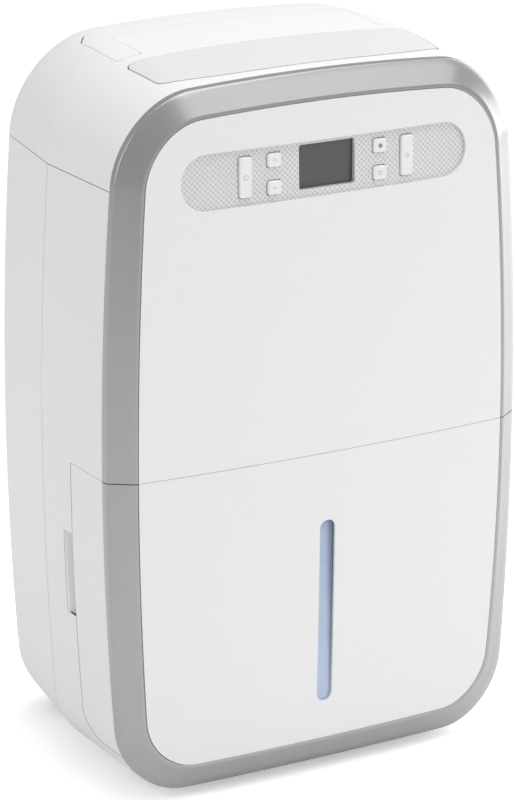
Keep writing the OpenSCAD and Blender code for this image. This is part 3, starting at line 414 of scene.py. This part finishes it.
casing = casing_skin("front_casing_shell", shell_front, seam_y - seam_gap / 2, shell_wall, white_shell)
cuts = [prism(cheek_outline(0.0006, 0.0002), "x", -0.22, 0.22),
        block(-0.3, 0.3, -0.3, 0.3, seam_z - seam_gap / 2, 0.7)]
for side in (-1, 1):
    x0, x1 = sorted((side * 0.16, side * 0.23))
    grip = [(cheek_y - 0.004, grip_low)]
    grip += arc(grip_back - grip_round, grip_low + grip_round, grip_round, -90, 0, 4)
    grip += arc(grip_back - grip_round, grip_high - grip_round, grip_round, 0, 90, 4)
    grip += [(cheek_y - 0.004, grip_high)]
    cuts.append(prism(grip, "x", x0, x1))
for x in (-castor_x, castor_x):
    for y in (rim_y + castor_end, back_y - castor_end):
        cuts.append(prism(arc(x, y, well_radius, 0, 350, 35), "z", 0.0, well_top))
carve(casing, cuts)


def casing_solid(start, end, inset):
    """The space inside the housing's surface between two depths."""
    solid = wrapped_grid([casing_ring(y, inset) for y in casing_stations(start, end)])
    bmesh.ops.holes_fill(solid, edges=[e for e in solid.edges if e.is_boundary], sides=0)
    return solid


cup_wall, cup_floor, cup_mouth, scoop_deep, beyond_side = 0.003, 0.1785, 0.1945, 0.1812, 0.23
for side in (-1, 1):
    x0, x1 = sorted((side * cup_floor, side * beyond_side))
    cup = piece_of("grip_cup", block(x0, x1, cheek_y - 0.004, grip_back + cup_wall,
                                     grip_low - cup_wall, grip_high + cup_wall))
    scoop = [(side * cup_mouth, grip_back - 0.0004), (side * scoop_deep, cheek_y + 0.003),
             (side * scoop_deep, cheek_y - 0.006), (side * beyond_side, cheek_y - 0.006),
             (side * beyond_side, grip_back - 0.0004)]
    carve(cup, [casing_solid(cheek_y - 0.02, grip_back + 0.02, 0.0008)], "INTERSECT")
    carve(cup, [prism(scoop, "z", grip_low, grip_high)])
    join(casing, cup)
soften(casing, 0.0005)
place_on(casing, "casing", "white_shell", "front_casing")


# ---- Top cover ----
# The lid over the machine, moulded in one with the tray that the carrying handle folds
# into. It is open at the front for the outlet flap.

flap_half, flap_front, flap_rear, flap_flare, flap_bow = 0.1305, -0.0975, -0.046, 0.004, 0.0108
arm_out, arm_in, arm_front, arm_taper = 0.134, 0.112, -0.033, 0.0045
bar_front, bar_rear = 0.025, 0.050


def filleted(corners, radius, steps=6):
    """A closed outline with each corner rounded."""
    points = []
    count = len(corners)
    for i, corner in enumerate(corners):
        here = Vector(corner)
        before = (Vector(corners[i - 1]) - here).normalized()
        after = (Vector(corners[(i + 1) % count]) - here).normalized()
        half_turn = before.angle(after) / 2
        reach = radius / max(0.2, sin(half_turn) / cos(half_turn)) if half_turn < pi / 2 - 0.01 else 0
        start, end = here + before * reach, here + after * reach
        for k in range(steps + 1):
            t = k / steps
            points.append(tuple(start.lerp(here, t).lerp(here.lerp(end, t), t)))
    return points


def grown(corners, amount):
    """The outline moved outwards by amount, for corners that run anticlockwise."""
    moved = []
    count = len(corners)
    for i, corner in enumerate(corners):
        here = Vector(corner)
        back = (here - Vector(corners[i - 1])).normalized()
        ahead = (Vector(corners[(i + 1) % count]) - here).normalized()
        out_back, out_ahead = Vector((back.y, -back.x)), Vector((ahead.y, -ahead.x))
        across = (out_back + out_ahead).normalized()
        moved.append(tuple(here + across * amount / max(0.3, across.dot(out_back))))
    return moved


def flap_outline(front_gap, side_gap, rear_gap):
    """Plan of the flap with a gap round it: its front edge bows forward like the casing's rim."""
    front, rear, side = flap_front - front_gap, flap_rear + rear_gap, flap_half + side_gap
    flared = side + flap_flare
    ends = filleted([(-side, front), (side, front), (flared, rear), (-flared, rear)], 0.009)
    one_corner = len(ends) // 4
    points = ends[:one_corner] + stretch(ends[one_corner - 1], ends[one_corner], 24) + ends[one_corner:]
    return [(x, y - flap_bow * max(0, 1 - abs(x / side) ** 3) * (rear - y) / (rear - front)) for x, y in points]


def handle_outline(gap, cut, radius):
    """Plan of the U-shaped handle with a gap round it, its rear corners cut off."""
    rear_out = arm_out - arm_taper
    half = [(arm_in, bar_front), (arm_in, arm_front), (arm_out, arm_front), (arm_out, -0.008),
            (rear_out, bar_rear - cut), (rear_out - cut + 0.003, bar_rear)]
    return filleted(grown(half + [(-x, y) for x, y in reversed(half)], gap), radius)


cover = casing_skin("top_cover_shell", shell_front, back_y, shell_wall, white_shell)
pocket_floor, handle_gap, flap_gaps = 0.5785, 0.0004, (0.0013, 0.0012, 0.0004)
handle_hole = handle_outline(handle_gap, 0.0105, 0.003)
carve(cover, [block(-0.3, 0.3, -0.3, 0.3, -0.1, seam_z + seam_gap / 2),
              prism(flap_outline(*flap_gaps), "z", 0.55, 0.7), prism(handle_hole, "z", 0.55, 0.7)])
tray = piece_of("handle_tray", prism(handle_outline(0.0024, 0.0105, 0.005), "z", pocket_floor - 0.002, 0.7))
carve(tray, [casing_solid(rim_y + 0.02, back_y - 0.002, 0.0012)], "INTERSECT")
carve(tray, [prism(handle_hole, "z", pocket_floor, 0.7)])
join(cover, tray)
soften(cover, 0.0005)
place_on(cover, "casing", "white_shell", "top_cover")


# ---- Outlet flap ----
# The louvre over the air outlet, a white moulding that follows the top and tips up on
# two stub pins near its rear edge.

# The flap's colour is the casing's white painted darker. This is painted shade for the forward tilt that darkens
# it; the flap itself follows the top untilted.
flap_shaded_white = moulded("flap_shaded_white", (0.70, 0.70, 0.70), (0.678, 0.68, 0.682), 0.42)
flap = casing_skin("outlet_flap_lid", rim_y + 0.002, seam_y, 0.0036, flap_shaded_white)
carve(flap, [prism(flap_outline(0, 0, 0), "z", 0.56, 0.7)], "INTERSECT")
soften(flap, 0.0008, 3)
place_on(flap, "flap", "white_shell", "outlet_flap")


# ---- Carrying handle ----
# A wide U of white plastic that follows the top, lies flush in its tray and folds up on
# two pins in the front ends of its arms.

handle = casing_skin("carry_handle_bow", rim_y + 0.02, back_y - 0.01, 0.010, white_shell)
carve(handle, [prism(handle_outline(0, 0.012, 0.004), "z", 0.56, 0.7)], "INTERSECT")
soften(handle, 0.0008, 3)
place_on(handle, "carry_handle", "white_shell", "carry_handle")


# ---- Silver ring ----
# A trim ring in pearl silver lacquer all round the front, in two mouldings that part at
# the line where the tank pulls out. It slopes from a narrow side band in to the panels.

ring_width = 0.022
panel_bow_across, panel_bow_tall = 0.0082, 0.0065


def panel_line(x, z):
    """Depth of the front panels' surface, which curves back at its sides, top and bottom."""
    across, tall = x / half_width, (z - 0.536 * height) / (height / 2)
    return front_y + panel_bow_across * across ** 2 + panel_bow_tall * tall ** 2


def front_outline(inset):
    """Outline of the front, drawn in by inset from the rim towards the panel."""
    part = min(1.0, inset / ring_width)
    beyond = max(0.0, inset - ring_width)
    low_radius = bottom_corner - 0.014 * part - beyond
    high_radius = top_corner - 0.018 * part - beyond
    return outline(half_width - inset, floor_gap + inset, top_height(rim_y) - inset, low_radius, high_radius)


def front_ring(inset, rim_share, back):
    """A ring of the front: at rim_share 1 it follows the rim, and at 0 the panel."""
    return [Vector((x, rim_share * rim_line(x) + (1 - rim_share) * panel_line(x, z) + back, z))
            for x, z in front_outline(inset)]


def pearl_lacquer():
    """Silver lacquer with fine mica flakes that glint and a hair of uneven flow."""
    material = bpy.data.materials.new("silver_ring")
    material.use_nodes = True
    nodes, link = material.node_tree.nodes, material.node_tree.links.new
    shader = nodes["Principled BSDF"]
    place = nodes.new("ShaderNodeTexCoord")
    flake = nodes.new("ShaderNodeTexVoronoi")
    flake.inputs["Scale"].default_value = 3200
    link(place.outputs["Object"], flake.inputs["Vector"])
    glint = nodes.new("ShaderNodeMix")
    glint.data_type = "RGBA"
    glint.inputs["A"].default_value = (0.34, 0.34, 0.34, 1)
    glint.inputs["B"].default_value = (0.42, 0.42, 0.42, 1)
    link(flake.outputs["Distance"], glint.inputs["Factor"])
    link(glint.outputs["Result"], shader.inputs["Base Color"])
    flow = nodes.new("ShaderNodeTexNoise")
    flow.inputs["Scale"].default_value = 60
    link(place.outputs["Object"], flow.inputs["Vector"])
    rough = nodes.new("ShaderNodeMath")
    rough.operation = "MULTIPLY_ADD"
    rough.inputs[1].default_value = 0.06
    rough.inputs[2].default_value = 0.27
    link(flow.outputs["Fac"], rough.inputs[0])
    link(rough.outputs["Value"], shader.inputs["Roughness"])
    bump = nodes.new("ShaderNodeBump")
    bump.inputs["Strength"].default_value = 0.12
    bump.inputs["Distance"].default_value = 0.00005
    link(flake.outputs["Distance"], bump.inputs["Height"])
    link(bump.outputs["Normal"], shader.inputs["Normal"])
    shader.inputs["Metallic"].default_value = 0.75
    shader.inputs["Coat Weight"].default_value = 1.0
    shader.inputs["Coat Roughness"].default_value = 0.12
    return material


silver_ring = pearl_lacquer()
# Each point of the ring's section: its inset, its share of the rim, and how far back it lies
ring_profile = [(0.0000, 1.000, 0.0025), (0.0000, 1.000, -0.0033), (0.0002, 0.995, -0.0038),
                (0.0006, 0.975, -0.0040), (0.0060, 0.692, -0.0028), (0.0115, 0.403, -0.0016),
                (0.0170, 0.115, -0.0004), (0.0182, 0.055, -0.0003), (0.0192, 0.022, -0.0001),
                (0.0202, 0.006, 0.0), (0.0213, 0.000, 0.0001), (0.0218, 0.000, 0.0004),
                (0.0219, 0.000, 0.0009), (0.0219, 0.000, 0.0070), (0.0150, 0.250, 0.0035),
                (0.0030, 0.930, 0.0030), (0.0022, 1.000, 0.0032), (0.0022, 1.000, 0.0025)]


def ring_half(name, low, high, body, node):
    """One moulding of the ring, between two heights."""
    mesh = wrapped_grid([front_ring(*p) for p in ring_profile], closed=True)
    piece = piece_of(name, mesh, silver_ring)
    carve(piece, [block(-0.25, 0.25, -0.2, 0, low, high)], "INTERSECT")
    soften(piece, 0, fold=28)
    place_on(piece, body, "silver_ring", node)


ring_half("upper_ring", split_z + seam_gap / 2, 0.7, "casing", "front_frame")
ring_half("lower_ring", -0.1, split_z - seam_gap / 2, "tank", "tank_frame")


# ---- Front panels ----
# Two high-gloss white covers that curve both ways. The upper one frames the control
# strip, and the lower one is the tank's front with the slot for the level window.

gloss_panel = moulded("gloss_panel", (0.86, 0.86, 0.86), (0.845, 0.847, 0.848), 0.20, 900, 0.000006, coat=0.5)


def panel_sheet(name, inset, back, thickness, material):
    """The doubly curved front surface as a sheet, cut to the front's outline."""
    mesh = bmesh.new()
    bmesh.ops.create_grid(mesh, x_segments=90, y_segments=140, size=1)
    for v in mesh.verts:
        x, z = v.co.x * 0.185, 0.305 + v.co.y * 0.3
        v.co = (x, panel_line(x, z) + back, z)
    bmesh.ops.recalc_face_normals(mesh, faces=mesh.faces)
    if mesh.faces[:][0].normal.y > 0:
        bmesh.ops.reverse_faces(mesh, faces=mesh.faces)
    sheet = piece_of(name, mesh, material, turned=False)
    wall = sheet.modifiers.new("wall", "SOLIDIFY")
    wall.thickness, wall.offset = thickness, -1
    bake(sheet)
    carve(sheet, [prism(front_outline(inset), "y", -0.2, 0)], "INTERSECT")
    return sheet


def stadium(z, width, tall, grow=0.0, steps=16):
    """A slot with round ends, lying or standing."""
    radius = min(width, tall) / 2 + grow
    if width > tall:
        reach = width / 2 + grow - radius
        return arc(reach, z, radius, -90, 90, steps) + arc(-reach, z, radius, 90, 270, steps)
    reach = tall / 2 + grow - radius
    return arc(0, z + reach, radius, 0, 180, steps) + arc(0, z - reach, radius, 180, 360, steps)


strip_z = 0.5246
strip_width, strip_tall = 0.266, 0.046
panel_gap, panel_wall, split_half = 0.0003, 0.0025, 0.0002
window_low, window_high, window_width = 0.064, 0.226, 0.0146
window_z, window_tall = (window_low + window_high) / 2, window_high - window_low

upper_panel = panel_sheet("upper_panel", ring_width + panel_gap, 0.0, panel_wall, gloss_panel)
carve(upper_panel, [block(-0.3, 0.3, -0.3, 0.3, -0.1, split_z + split_half),
                    prism(stadium(strip_z, strip_width, strip_tall), "y", -0.2, 0)])
soften(upper_panel, 0.0006, 3)
place_on(upper_panel, "casing", "gloss_panel", "front_panel")

tank_panel = panel_sheet("tank_panel", ring_width + panel_gap, 0.0, panel_wall, gloss_panel)
carve(tank_panel, [block(-0.3, 0.3, -0.3, 0.3, split_z - split_half, 0.7),
                   prism(stadium(window_z, window_width, window_tall), "y", -0.2, 0)])
soften(tank_panel, 0.0006, 3)
place_on(tank_panel, "tank", "gloss_panel", "tank_front")


# ---- Control strip ----
# A recessed insert in light grey with a raised diamond lattice, cut out for the display
# and for six buttons.


def lattice_plastic():
    """Light ribs that cross at right angles over grey lozenges."""
    material = bpy.data.materials.new("hatched_strip")
    material.use_nodes = True
    nodes, link = material.node_tree.nodes, material.node_tree.links.new
    shader = nodes["Principled BSDF"]
    place = nodes.new("ShaderNodeTexCoord")
    axes = nodes.new("ShaderNodeSeparateXYZ")
    link(place.outputs["Object"], axes.inputs["Vector"])
    ribs = []
    for operation in ("ADD", "SUBTRACT"):
        slant = nodes.new("ShaderNodeMath")
        slant.operation = operation
        link(axes.outputs["X"], slant.inputs[0])
        link(axes.outputs["Z"], slant.inputs[1])
        pitch = nodes.new("ShaderNodeMath")
        pitch.operation = "MULTIPLY"
        pitch.inputs[1].default_value = 1 / 0.0046
        link(slant.outputs["Value"], pitch.inputs[0])
        wave = nodes.new("ShaderNodeMath")
        wave.operation = "PINGPONG"
        wave.inputs[1].default_value = 0.5
        link(pitch.outputs["Value"], wave.inputs[0])
        rib = nodes.new("ShaderNodeMapRange")
        rib.interpolation_type = "SMOOTHSTEP"
        rib.inputs["From Min"].default_value = 0.10
        rib.inputs["From Max"].default_value = 0.24
        rib.inputs["To Min"].default_value = 1
        rib.inputs["To Max"].default_value = 0
        link(wave.outputs["Value"], rib.inputs["Value"])
        ribs.append(rib)
    lattice = nodes.new("ShaderNodeMath")
    lattice.operation = "MAXIMUM"
    link(ribs[0].outputs["Result"], lattice.inputs[0])
    link(ribs[1].outputs["Result"], lattice.inputs[1])
    colour = nodes.new("ShaderNodeMix")
    colour.data_type = "RGBA"
    colour.inputs["A"].default_value = (0.60, 0.605, 0.605, 1)
    colour.inputs["B"].default_value = (0.80, 0.81, 0.815, 1)
    link(lattice.outputs["Value"], colour.inputs["Factor"])
    link(colour.outputs["Result"], shader.inputs["Base Color"])
    bump = nodes.new("ShaderNodeBump")
    bump.inputs["Strength"].default_value = 0.8
    bump.inputs["Distance"].default_value = 0.0003
    link(lattice.outputs["Value"], bump.inputs["Height"])
    link(bump.outputs["Normal"], shader.inputs["Normal"])
    shader.inputs["Roughness"].default_value = 0.32
    shader.inputs["Coat Weight"].default_value = 0.2
    return material


display_z, display_width, display_tall = 0.5263, 0.0518, 0.0368
tall_x, tall_width, tall_height = 0.0752, 0.0114, 0.0334
small_x, small_width, small_height, small_rise = 0.0492, 0.0122, 0.0114, 0.0112
button_gap = 0.00055


def rounded_slot(x, z, width, tall, radius, grow=0.0):
    """A rectangle about a point with rounded corners, grown on every side."""
    w, h = width / 2 + grow, tall / 2 + grow
    return filleted([(x - w, z - h), (x + w, z - h), (x + w, z + h), (x - w, z + h)], radius + grow)


strip_recess = 0.0026
strip = panel_sheet("lattice_strip", ring_width + 0.002, strip_recess, 0.0018, lattice_plastic())
carve(strip, [prism(stadium(strip_z, strip_width, strip_tall, 0.0025), "y", -0.2, 0)], "INTERSECT")
openings = [rounded_slot(0, display_z, display_width, display_tall, 0.0022)]
for side in (-1, 1):
    openings.append(rounded_slot(side * tall_x, strip_z, tall_width, tall_height, 0.0026, button_gap))
    for rise in (-1, 1):
        openings.append(rounded_slot(side * small_x, strip_z + rise * small_rise, small_width, small_height,
                                     0.0024, button_gap))
carve(strip, [prism(points, "y", -0.2, 0) for points in openings])
soften(strip, 0.0003, 2)
place_on(strip, "casing", "hatched_strip", "control_plate")


# ---- Display ----
# A clear acrylic lens over a dark grey liquid crystal panel, set behind the strip in a
# white frame that shows as a sill.

lens_glass = moulded("display_face", (0.075, 0.076, 0.072), (0.062, 0.063, 0.06), 0.30, 500, 0.000004, coat=0.6)
lens_y = panel_line(0, display_z) + strip_recess + 0.0042
lens = piece_of("display_face", prism(rounded_slot(0, display_z, display_width, display_tall, 0.003, 0.003), "y",
                                      lens_y, lens_y + 0.002), lens_glass)
soften(lens, 0.0002)
place_on(lens, "casing", "display", "display_lens")
frame_mesh = prism(rounded_slot(0, display_z, display_width, display_tall, 0.0022, 0.0016), "y",
                   panel_line(0, display_z) + strip_recess + 0.0012, lens_y + 0.0004)
sill = piece_of("display_frame", frame_mesh, moulded("frame_grey", (0.62, 0.63, 0.64), (0.58, 0.59, 0.6), 0.3))
carve(sill, [prism(rounded_slot(0, display_z, display_width, display_tall, 0.0022, 0.0001), "y", -0.2, 0)])
soften(sill, 0.0002)
place_on(sill, "casing", "button")


# ---- Buttons ----
# Six keycaps in glossy white, with crowned faces and grey printed signs. Each is pushed
# in against its switch on the board behind.

key_white = moulded("button", (0.87, 0.875, 0.88), (0.855, 0.86, 0.865), 0.22, 900, 0.000006, coat=0.4)
ink_grey = moulded("printed_sign", (0.42, 0.43, 0.44), (0.38, 0.39, 0.40), 0.5, 900, 0.000004)
ink_dark = moulded("printed_sign_dark", (0.20, 0.205, 0.21), (0.18, 0.185, 0.19), 0.5, 900, 0.000004)


def arc_band(x, z, inner, outer, start, end, steps=24):
    """A curved bar between two radii and two angles."""
    return arc(x, z, outer, start, end, steps) + arc(x, z, inner, end, start, steps)


def turned_about(points, x, z, degrees):
    """The outline turned about a point."""
    c, s = cos(radians(degrees)), sin(radians(degrees))
    return [(x + c * (a - x) - s * (b - z), z + s * (a - x) + c * (b - z)) for a, b in points]


def bar_sign(x, z, width, tall):
    """A printed bar about a point."""
    return [(x - width / 2, z - tall / 2), (x + width / 2, z - tall / 2), (x + width / 2, z + tall / 2),
            (x - width / 2, z + tall / 2)]


def square_sign(x, z, size):
    """Four printed bars that make a hollow square."""
    bars = [bar_sign(x, z + s * size / 2, size, 0.0004) for s in (-1, 1)]
    return bars + [bar_sign(x + s * size / 2, z, 0.0004, size - 0.0004) for s in (-1, 1)]


def arrow_sign(x, z, way):
    """Two slanting strokes that point up (way 1) or down (way -1)."""
    tip = (x, z + way * 0.0012)
    return [[(x - 0.0018, z - way * 0.0008), (x - 0.0014, z - way * 0.0011), tip, (x, z + way * 0.0017)],
            [(x + 0.0018, z - way * 0.0008), (x + 0.0014, z - way * 0.0011), tip, (x, z + way * 0.0017)]]


def fan_sign(x, z):
    """Five round blades about a point."""
    blade = arc(x, z + 0.00115, 0.0008, -60, 240, 10)
    return [turned_about(blade, x, z, turn) for turn in (20, 92, 164, 236, 308)]


def key(name, x, z, width, tall, radius, signs, ink):
    """A keycap with a rounded rim, and its printed sign."""
    face_y = panel_line(x, z) + 0.0004
    cap = prism(rounded_slot(x, z, width, tall, radius), "y", face_y, face_y + 0.0085)
    rim = [e for e in cap.edges if all(v.co.y < face_y + 1e-5 for v in e.verts)]
    bmesh.ops.bevel(cap, geom=rim, offset=0.0011, segments=5, profile=0.5, affect="EDGES", material=-1)
    piece = piece_of(name + "_cap", cap, key_white)
    soften(piece, 0)
    body = name + "_button"
    place_on(piece, body, "button", body)
    for number, points in enumerate(signs, 1):
        mark = piece_of(f"{name}_sign_{number}", prism(points, "y", face_y - 0.00006, face_y + 0.0001), ink)
        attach(mark, body)


key("timer", -tall_x, strip_z, tall_width, tall_height, 0.0026, square_sign(-tall_x, strip_z, 0.0034), ink_grey)
key("power", tall_x, strip_z, tall_width, tall_height, 0.0026,
    [arc_band(tall_x, strip_z, 0.0013, 0.0017, 125, 415), bar_sign(tall_x, strip_z + 0.0013, 0.0004, 0.002)],
    ink_grey)
upper_z, lower_z = strip_z + small_rise, strip_z - small_rise
key("fan", small_x, upper_z, small_width, small_height, 0.0024, fan_sign(small_x, upper_z), ink_dark)
key("mode", small_x, lower_z, small_width, small_height, 0.0024,
    [arc_band(small_x, lower_z, 0.0014, 0.0018, 0, 359)], ink_grey)
key("up", -small_x, upper_z, small_width, small_height, 0.0024, arrow_sign(-small_x, upper_z, 1), ink_grey)
key("down", -small_x, lower_z, small_width, small_height, 0.0024, arrow_sign(-small_x, lower_z, -1), ink_grey)


# ---- Tank shell ----
# The two cheeks at the tank's sides, in the casing's white ABS, joined by a wall behind
# the front panel. They carry on the casing's shape.

cheeks = casing_skin("tank_cheeks", shell_front, cheek_y + 0.002, shell_wall, white_shell)
carve(cheeks, [prism(cheek_outline(-0.0005, -0.0002), "x", -0.22, 0.22)], "INTERSECT")
wall_ring = [(p.x, p.z) for p in casing_ring(rim_y + 0.004, 0.001)]
web = piece_of("tank_web", prism(wall_ring, "y", rim_y + 0.004, rim_y + 0.0065), white_shell)
carve(web, [block(-0.3, 0.3, -0.3, 0.3, cheek_low + 0.0005, split_z - 0.0005)], "INTERSECT")
carve(web, [prism(stadium(window_z, window_width, window_tall, 0.012), "y", -0.2, 0)])
join(cheeks, web)
soften(cheeks, 0.0005)
place_on(cheeks, "tank", "white_shell", "tank_shell")


# ---- Level window ----
# A lens of pale blue clear plastic behind the slot in the tank's front, frosted inside so
# that the water line shows as a shade.


def tinted_window():
    """Blue plastic with a faint haze that clouds its tint and its gloss."""
    material = bpy.data.materials.new("blue_window")
    material.use_nodes = True
    nodes, link = material.node_tree.nodes, material.node_tree.links.new
    shader = nodes["Principled BSDF"]
    place = nodes.new("ShaderNodeTexCoord")
    haze = nodes.new("ShaderNodeTexNoise")
    haze.inputs["Scale"].default_value = 45
    link(place.outputs["Object"], haze.inputs["Vector"])
    tint = nodes.new("ShaderNodeMix")
    tint.data_type = "RGBA"
    tint.inputs["A"].default_value = (0.42, 0.52, 0.72, 1)
    tint.inputs["B"].default_value = (0.55, 0.64, 0.80, 1)
    link(haze.outputs["Fac"], tint.inputs["Factor"])
    link(tint.outputs["Result"], shader.inputs["Base Color"])
    rough = nodes.new("ShaderNodeMath")
    rough.operation = "MULTIPLY_ADD"
    rough.inputs[1].default_value = 0.1
    rough.inputs[2].default_value = 0.12
    link(haze.outputs["Fac"], rough.inputs[0])
    link(rough.outputs["Value"], shader.inputs["Roughness"])
    shader.inputs["Coat Weight"].default_value = 0.6
    return material


window_y = panel_line(0, window_low) + 0.0028
window = piece_of("level_window", prism(stadium(window_z, window_width, window_tall, 0.002), "y",
                                        window_y, window_y + 0.004), tinted_window())
soften(window, 0.0003)
place_on(window, "tank", "blue_window", "tank_window")


# ---- Parts that keep their own shape ----
# The chassis, cooling circuit, fan, castors and small parts are used as they are made,
# each in its own moulded, cast, drawn or rolled finish.

finishes = {
    "white_shell": white_shell,
    "clear_tank": moulded("clear_tank", (0.72, 0.76, 0.80), (0.68, 0.73, 0.78), 0.35, 1500, 0.00001, coat=0.2),
    "grey_plastic": moulded("grey_plastic", (0.55, 0.56, 0.57), (0.50, 0.51, 0.52), 0.5),
    "dark_plastic": moulded("dark_plastic", (0.045, 0.047, 0.05), (0.035, 0.036, 0.039), 0.48, 1800, 0.00004),
    "circuit_board": moulded("circuit_board", (0.03, 0.16, 0.07), (0.025, 0.13, 0.06), 0.35, 900, 0.00001),
    "steel": moulded("steel", (0.58, 0.585, 0.59), (0.50, 0.505, 0.51), 0.32, 1200, 0.00002, metallic=1.0),
    "black_steel": moulded("black_steel", (0.02, 0.021, 0.023), (0.016, 0.017, 0.018), 0.35, 700, 0.00006,
                           coat=0.3),
    "rubber": moulded("rubber", (0.022, 0.022, 0.022), (0.03, 0.03, 0.03), 0.75, 2200, 0.00005),
    "aluminium_fins": moulded("aluminium_fins", (0.78, 0.79, 0.80), (0.70, 0.71, 0.72), 0.3, 900, 0.00003,
                              metallic=1.0),
    "copper": moulded("copper", (0.72, 0.38, 0.22), (0.60, 0.30, 0.17), 0.3, 800, 0.00003, metallic=1.0),
    "filter_mesh": moulded("filter_mesh", (0.07, 0.075, 0.08), (0.055, 0.06, 0.065), 0.8, 1400, 0.0002),
}
for row in frame["record"]["subparts"]:
    node = frame["nodes"][row["node"]]
    if row["material_slot"] in finishes and not node.hide_render:
        node.data.materials.clear()
        node.data.materials.append(finishes[row["material_slot"]])
